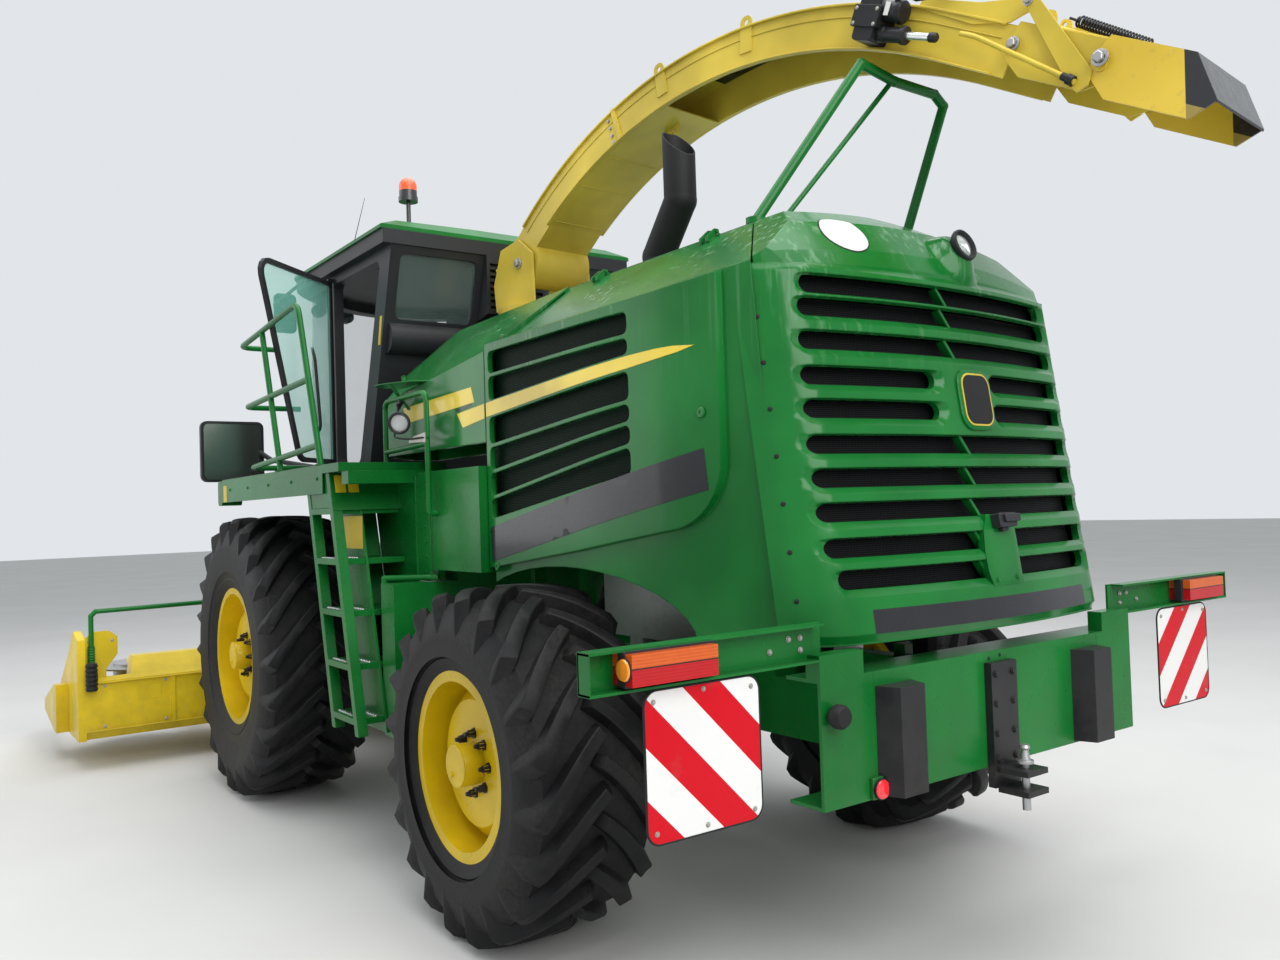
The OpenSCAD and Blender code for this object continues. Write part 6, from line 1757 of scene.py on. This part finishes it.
def tip_colours_and_shade():
    """The last deflector: yellow outside, darker beyond a slanting line, and black there, as painted
    shade, where its open inside shows.
    """
    m = Material("deflector tip", (0.72, 0.50, 0.035), 0.36, coat=0.25)
    corner = on_spout(PIN_B[0], 0, PIN_B[1])
    reach = (m.x - corner[0]) * -math.cos(YAW) + (m.y - corner[1]) * -math.sin(YAW)
    rise_z = m.z - corner[2]
    along = reach * math.cos(ARC_END) + rise_z * -math.sin(ARC_END)
    up = reach * math.sin(ARC_END) + rise_z * math.cos(ARC_END)
    lower = (along + up * 0.55).over(0.300)
    # Beyond the line and above a second level: painted shade of the open inside, in near black.
    painted_inside_shade = lower * up.over(-0.075)
    clouds, dirt = m.noise(1.7, 3), m.noise(26, 5)
    out = m.mix(clouds.rise(0.35, 0.7), (0.60, 0.41, 0.022), (0.76, 0.54, 0.05))
    out = m.mix(lower * 0.75, out, (0.16, 0.13, 0.045))
    out = m.mix(dirt.rise(0.60, 0.8) * 0.35, out, (0.20, 0.17, 0.09))
    # Painted shade of the open inside covers the yellow in near black.
    m.set("Base Color", m.mix(painted_inside_shade, out, (0.013, 0.014, 0.017)))
    m.set("Roughness", (dirt * 0.25 + 0.25 - painted_inside_shade * 0.08).limit())
    m.bump(m.noise(210, 2), 0.0002, 0.003)
    return m.made


dress("deflector_end", tip_colours_and_shade())
print("spout dressed")

# %% [markdown]
# ## Header
#
# The header's wall carries a row of bolts, folded edges and blank labels. A ribbed sleeve covers the
# spring that carries the guard rail's end. Each is a small repeated shape, so each is a loop over its
# places: an Array modifier can't leave out the bolts in the middle, where the feeder house stands.

# %% Bolts, folds, sleeve and labels of the header
row = [at(1.4002, y, z) for z in (0.585, 0.300) for y in np.arange(-2.0, 2.05, 0.40) if abs(y) > 0.5]
row += [at(1.4522, side * y, z) for side in (1, -1)
        for y, z in ((1.94, 0.90), (2.09, 0.90), (2.09, 0.66))]
piece("header_bolts", bolts(row, -X, 0.010), zinc, "header")
ribs = [(0.034 + 0.007 * (k % 2), 0.006 + 0.016 * k) for k in range(13)]
sleeve = [(0.0, 0.0)] + ribs + [(0.0, 0.205)]
sleeves = [turned(sleeve, at(1.345, y, 0.560), Z, 24) for y in (2.09, -2.09)]
piece("guard_sleeves", sleeves, trim_rubber, "header")
folds = []
for y0, y1 in ((-2.10, -0.46), (0.46, 2.10)):
    folds += [brick(at(1.380, y0, z), at(1.402, y1, z + 0.008)) for z in (0.606, 0.272)]
for y in (-1.55, -1.0, 1.0, 1.55):
    folds.append(brick(at(1.386, y - 0.015, 0.280), at(1.402, y + 0.015, 0.606)))
piece("header_folds", folds, header_yellow, "header", bevel=0.003)
tag_places = ((1.72, 1.79, 0.46, 0.56), (1.63, 1.70, 0.46, 0.56), (1.18, 1.32, 0.34, 0.39),
              (-1.79, -1.72, 0.46, 0.56))
tags = [to_rear(rounded_box(*ends, 0.006), 1.3998 + AXLE_X, LABEL) for ends in tag_places]
piece("header_tags", tags, warning_yellow, "header")
print("header dressed")

# %% [markdown]
# ## Floor, light and camera
#
# A plain pale floor and broad soft lamps stand in for the overcast sky. The camera stands where the
# photograph was taken: behind the machine's left rear corner, at eye height. The world is a little
# brighter to the camera than to the paint, which keeps the background pale and the shadows soft.

# %% Floor and backdrop


def backdrop_material():
    """A pale floor, a little cloudy."""
    m = Material("pale floor", (0.62, 0.62, 0.61), 0.75)
    m.set("Base Color", m.mix(m.noise(0.6, 3).rise(0.3, 0.7), (0.60, 0.60, 0.59), (0.65, 0.65, 0.64)))
    return m.made


HALF_FLOOR, FLOOR_Z = 60.0, -0.002
corners = [(HALF_FLOOR * a, HALF_FLOOR * b, FLOOR_Z) for a, b in ((-1, -1), (1, -1), (1, 1), (-1, 1))]
floor_mesh = bpy.data.meshes.new("floor")
floor_mesh.from_pydata(corners, [], [(0, 1, 2, 3)])
floor_mesh.materials.append(backdrop_material())
floor = bpy.data.objects.new("floor", floor_mesh)
bpy.context.scene.collection.objects.link(floor)

world = bpy.data.worlds.new("overcast")
bpy.context.scene.world = world
world.use_nodes = True
tree = world.node_tree
background = tree.nodes["Background"]
background.inputs["Color"].default_value = (0.80, 0.83, 0.86, 1)
rays = tree.nodes.new("ShaderNodeLightPath")
seen = Field(tree, rays.outputs["Is Camera Ray"]) + Field(tree, rays.outputs["Is Glossy Ray"])
seen = (seen + Field(tree, rays.outputs["Is Transmission Ray"])).limit()
tree.links.new((seen * 0.30 + 0.65).socket, background.inputs["Strength"])
print("floor half width", HALF_FLOOR, "m")


# %% Soft lamps
def lamp(name, place, target, width, power, color=(1, 1, 1)):
    """A square soft lamp that looks at a point."""
    data = bpy.data.lights.new(name, "AREA")
    data.shape = "SQUARE"
    data.size = width
    data.energy = power
    data.color = color
    made = bpy.data.objects.new(name, data)
    bpy.context.scene.collection.objects.link(made)
    made.location = place
    made.rotation_euler = (Vector(target) - Vector(place)).to_track_quat("-Z", "Y").to_euler()


lamp("sky", (-1, 0, 11), (0, 0, 0), 12, 1150)
lamp("key", (-11, 1.5, 7), (-1, 0, 1.5), 7, 800, (1, 0.99, 0.97))
lamp("fill", (8, 9, 5), (0, 0, 1.5), 8, 260)
print("lamps:", len(bpy.data.lights))

# %% Camera at the photograph's viewpoint
camera_place = at(-6.853, 3.237, 1.721)
yaw, pitch, roll = -0.6281, 0.0274, -0.0327
focal_px, width_px = 1037.3, 1280
look = np.array([math.cos(yaw) * math.cos(pitch), math.sin(yaw) * math.cos(pitch), math.sin(pitch)])
level = np.array([math.sin(yaw), -math.cos(yaw), 0.0])
upright = np.cross(level, look)
right = math.cos(roll) * level + math.sin(roll) * upright
over = -math.sin(roll) * level + math.cos(roll) * upright
camera = bpy.data.objects.new("camera", bpy.data.cameras.new("camera"))
bpy.context.scene.collection.objects.link(camera)
camera.data.sensor_fit = "HORIZONTAL"
camera.data.sensor_width = 36
camera.data.lens = 36 * focal_px / width_px
rows = [(right[i], over[i], -look[i], camera_place[i]) for i in range(3)]
camera.matrix_world = Matrix(rows + [(0, 0, 0, 1)])
bpy.context.scene.camera = camera
bpy.context.scene.view_settings.view_transform = "Standard"
print("camera at", camera_place.round(3), "lens", round(camera.data.lens, 2), "mm")
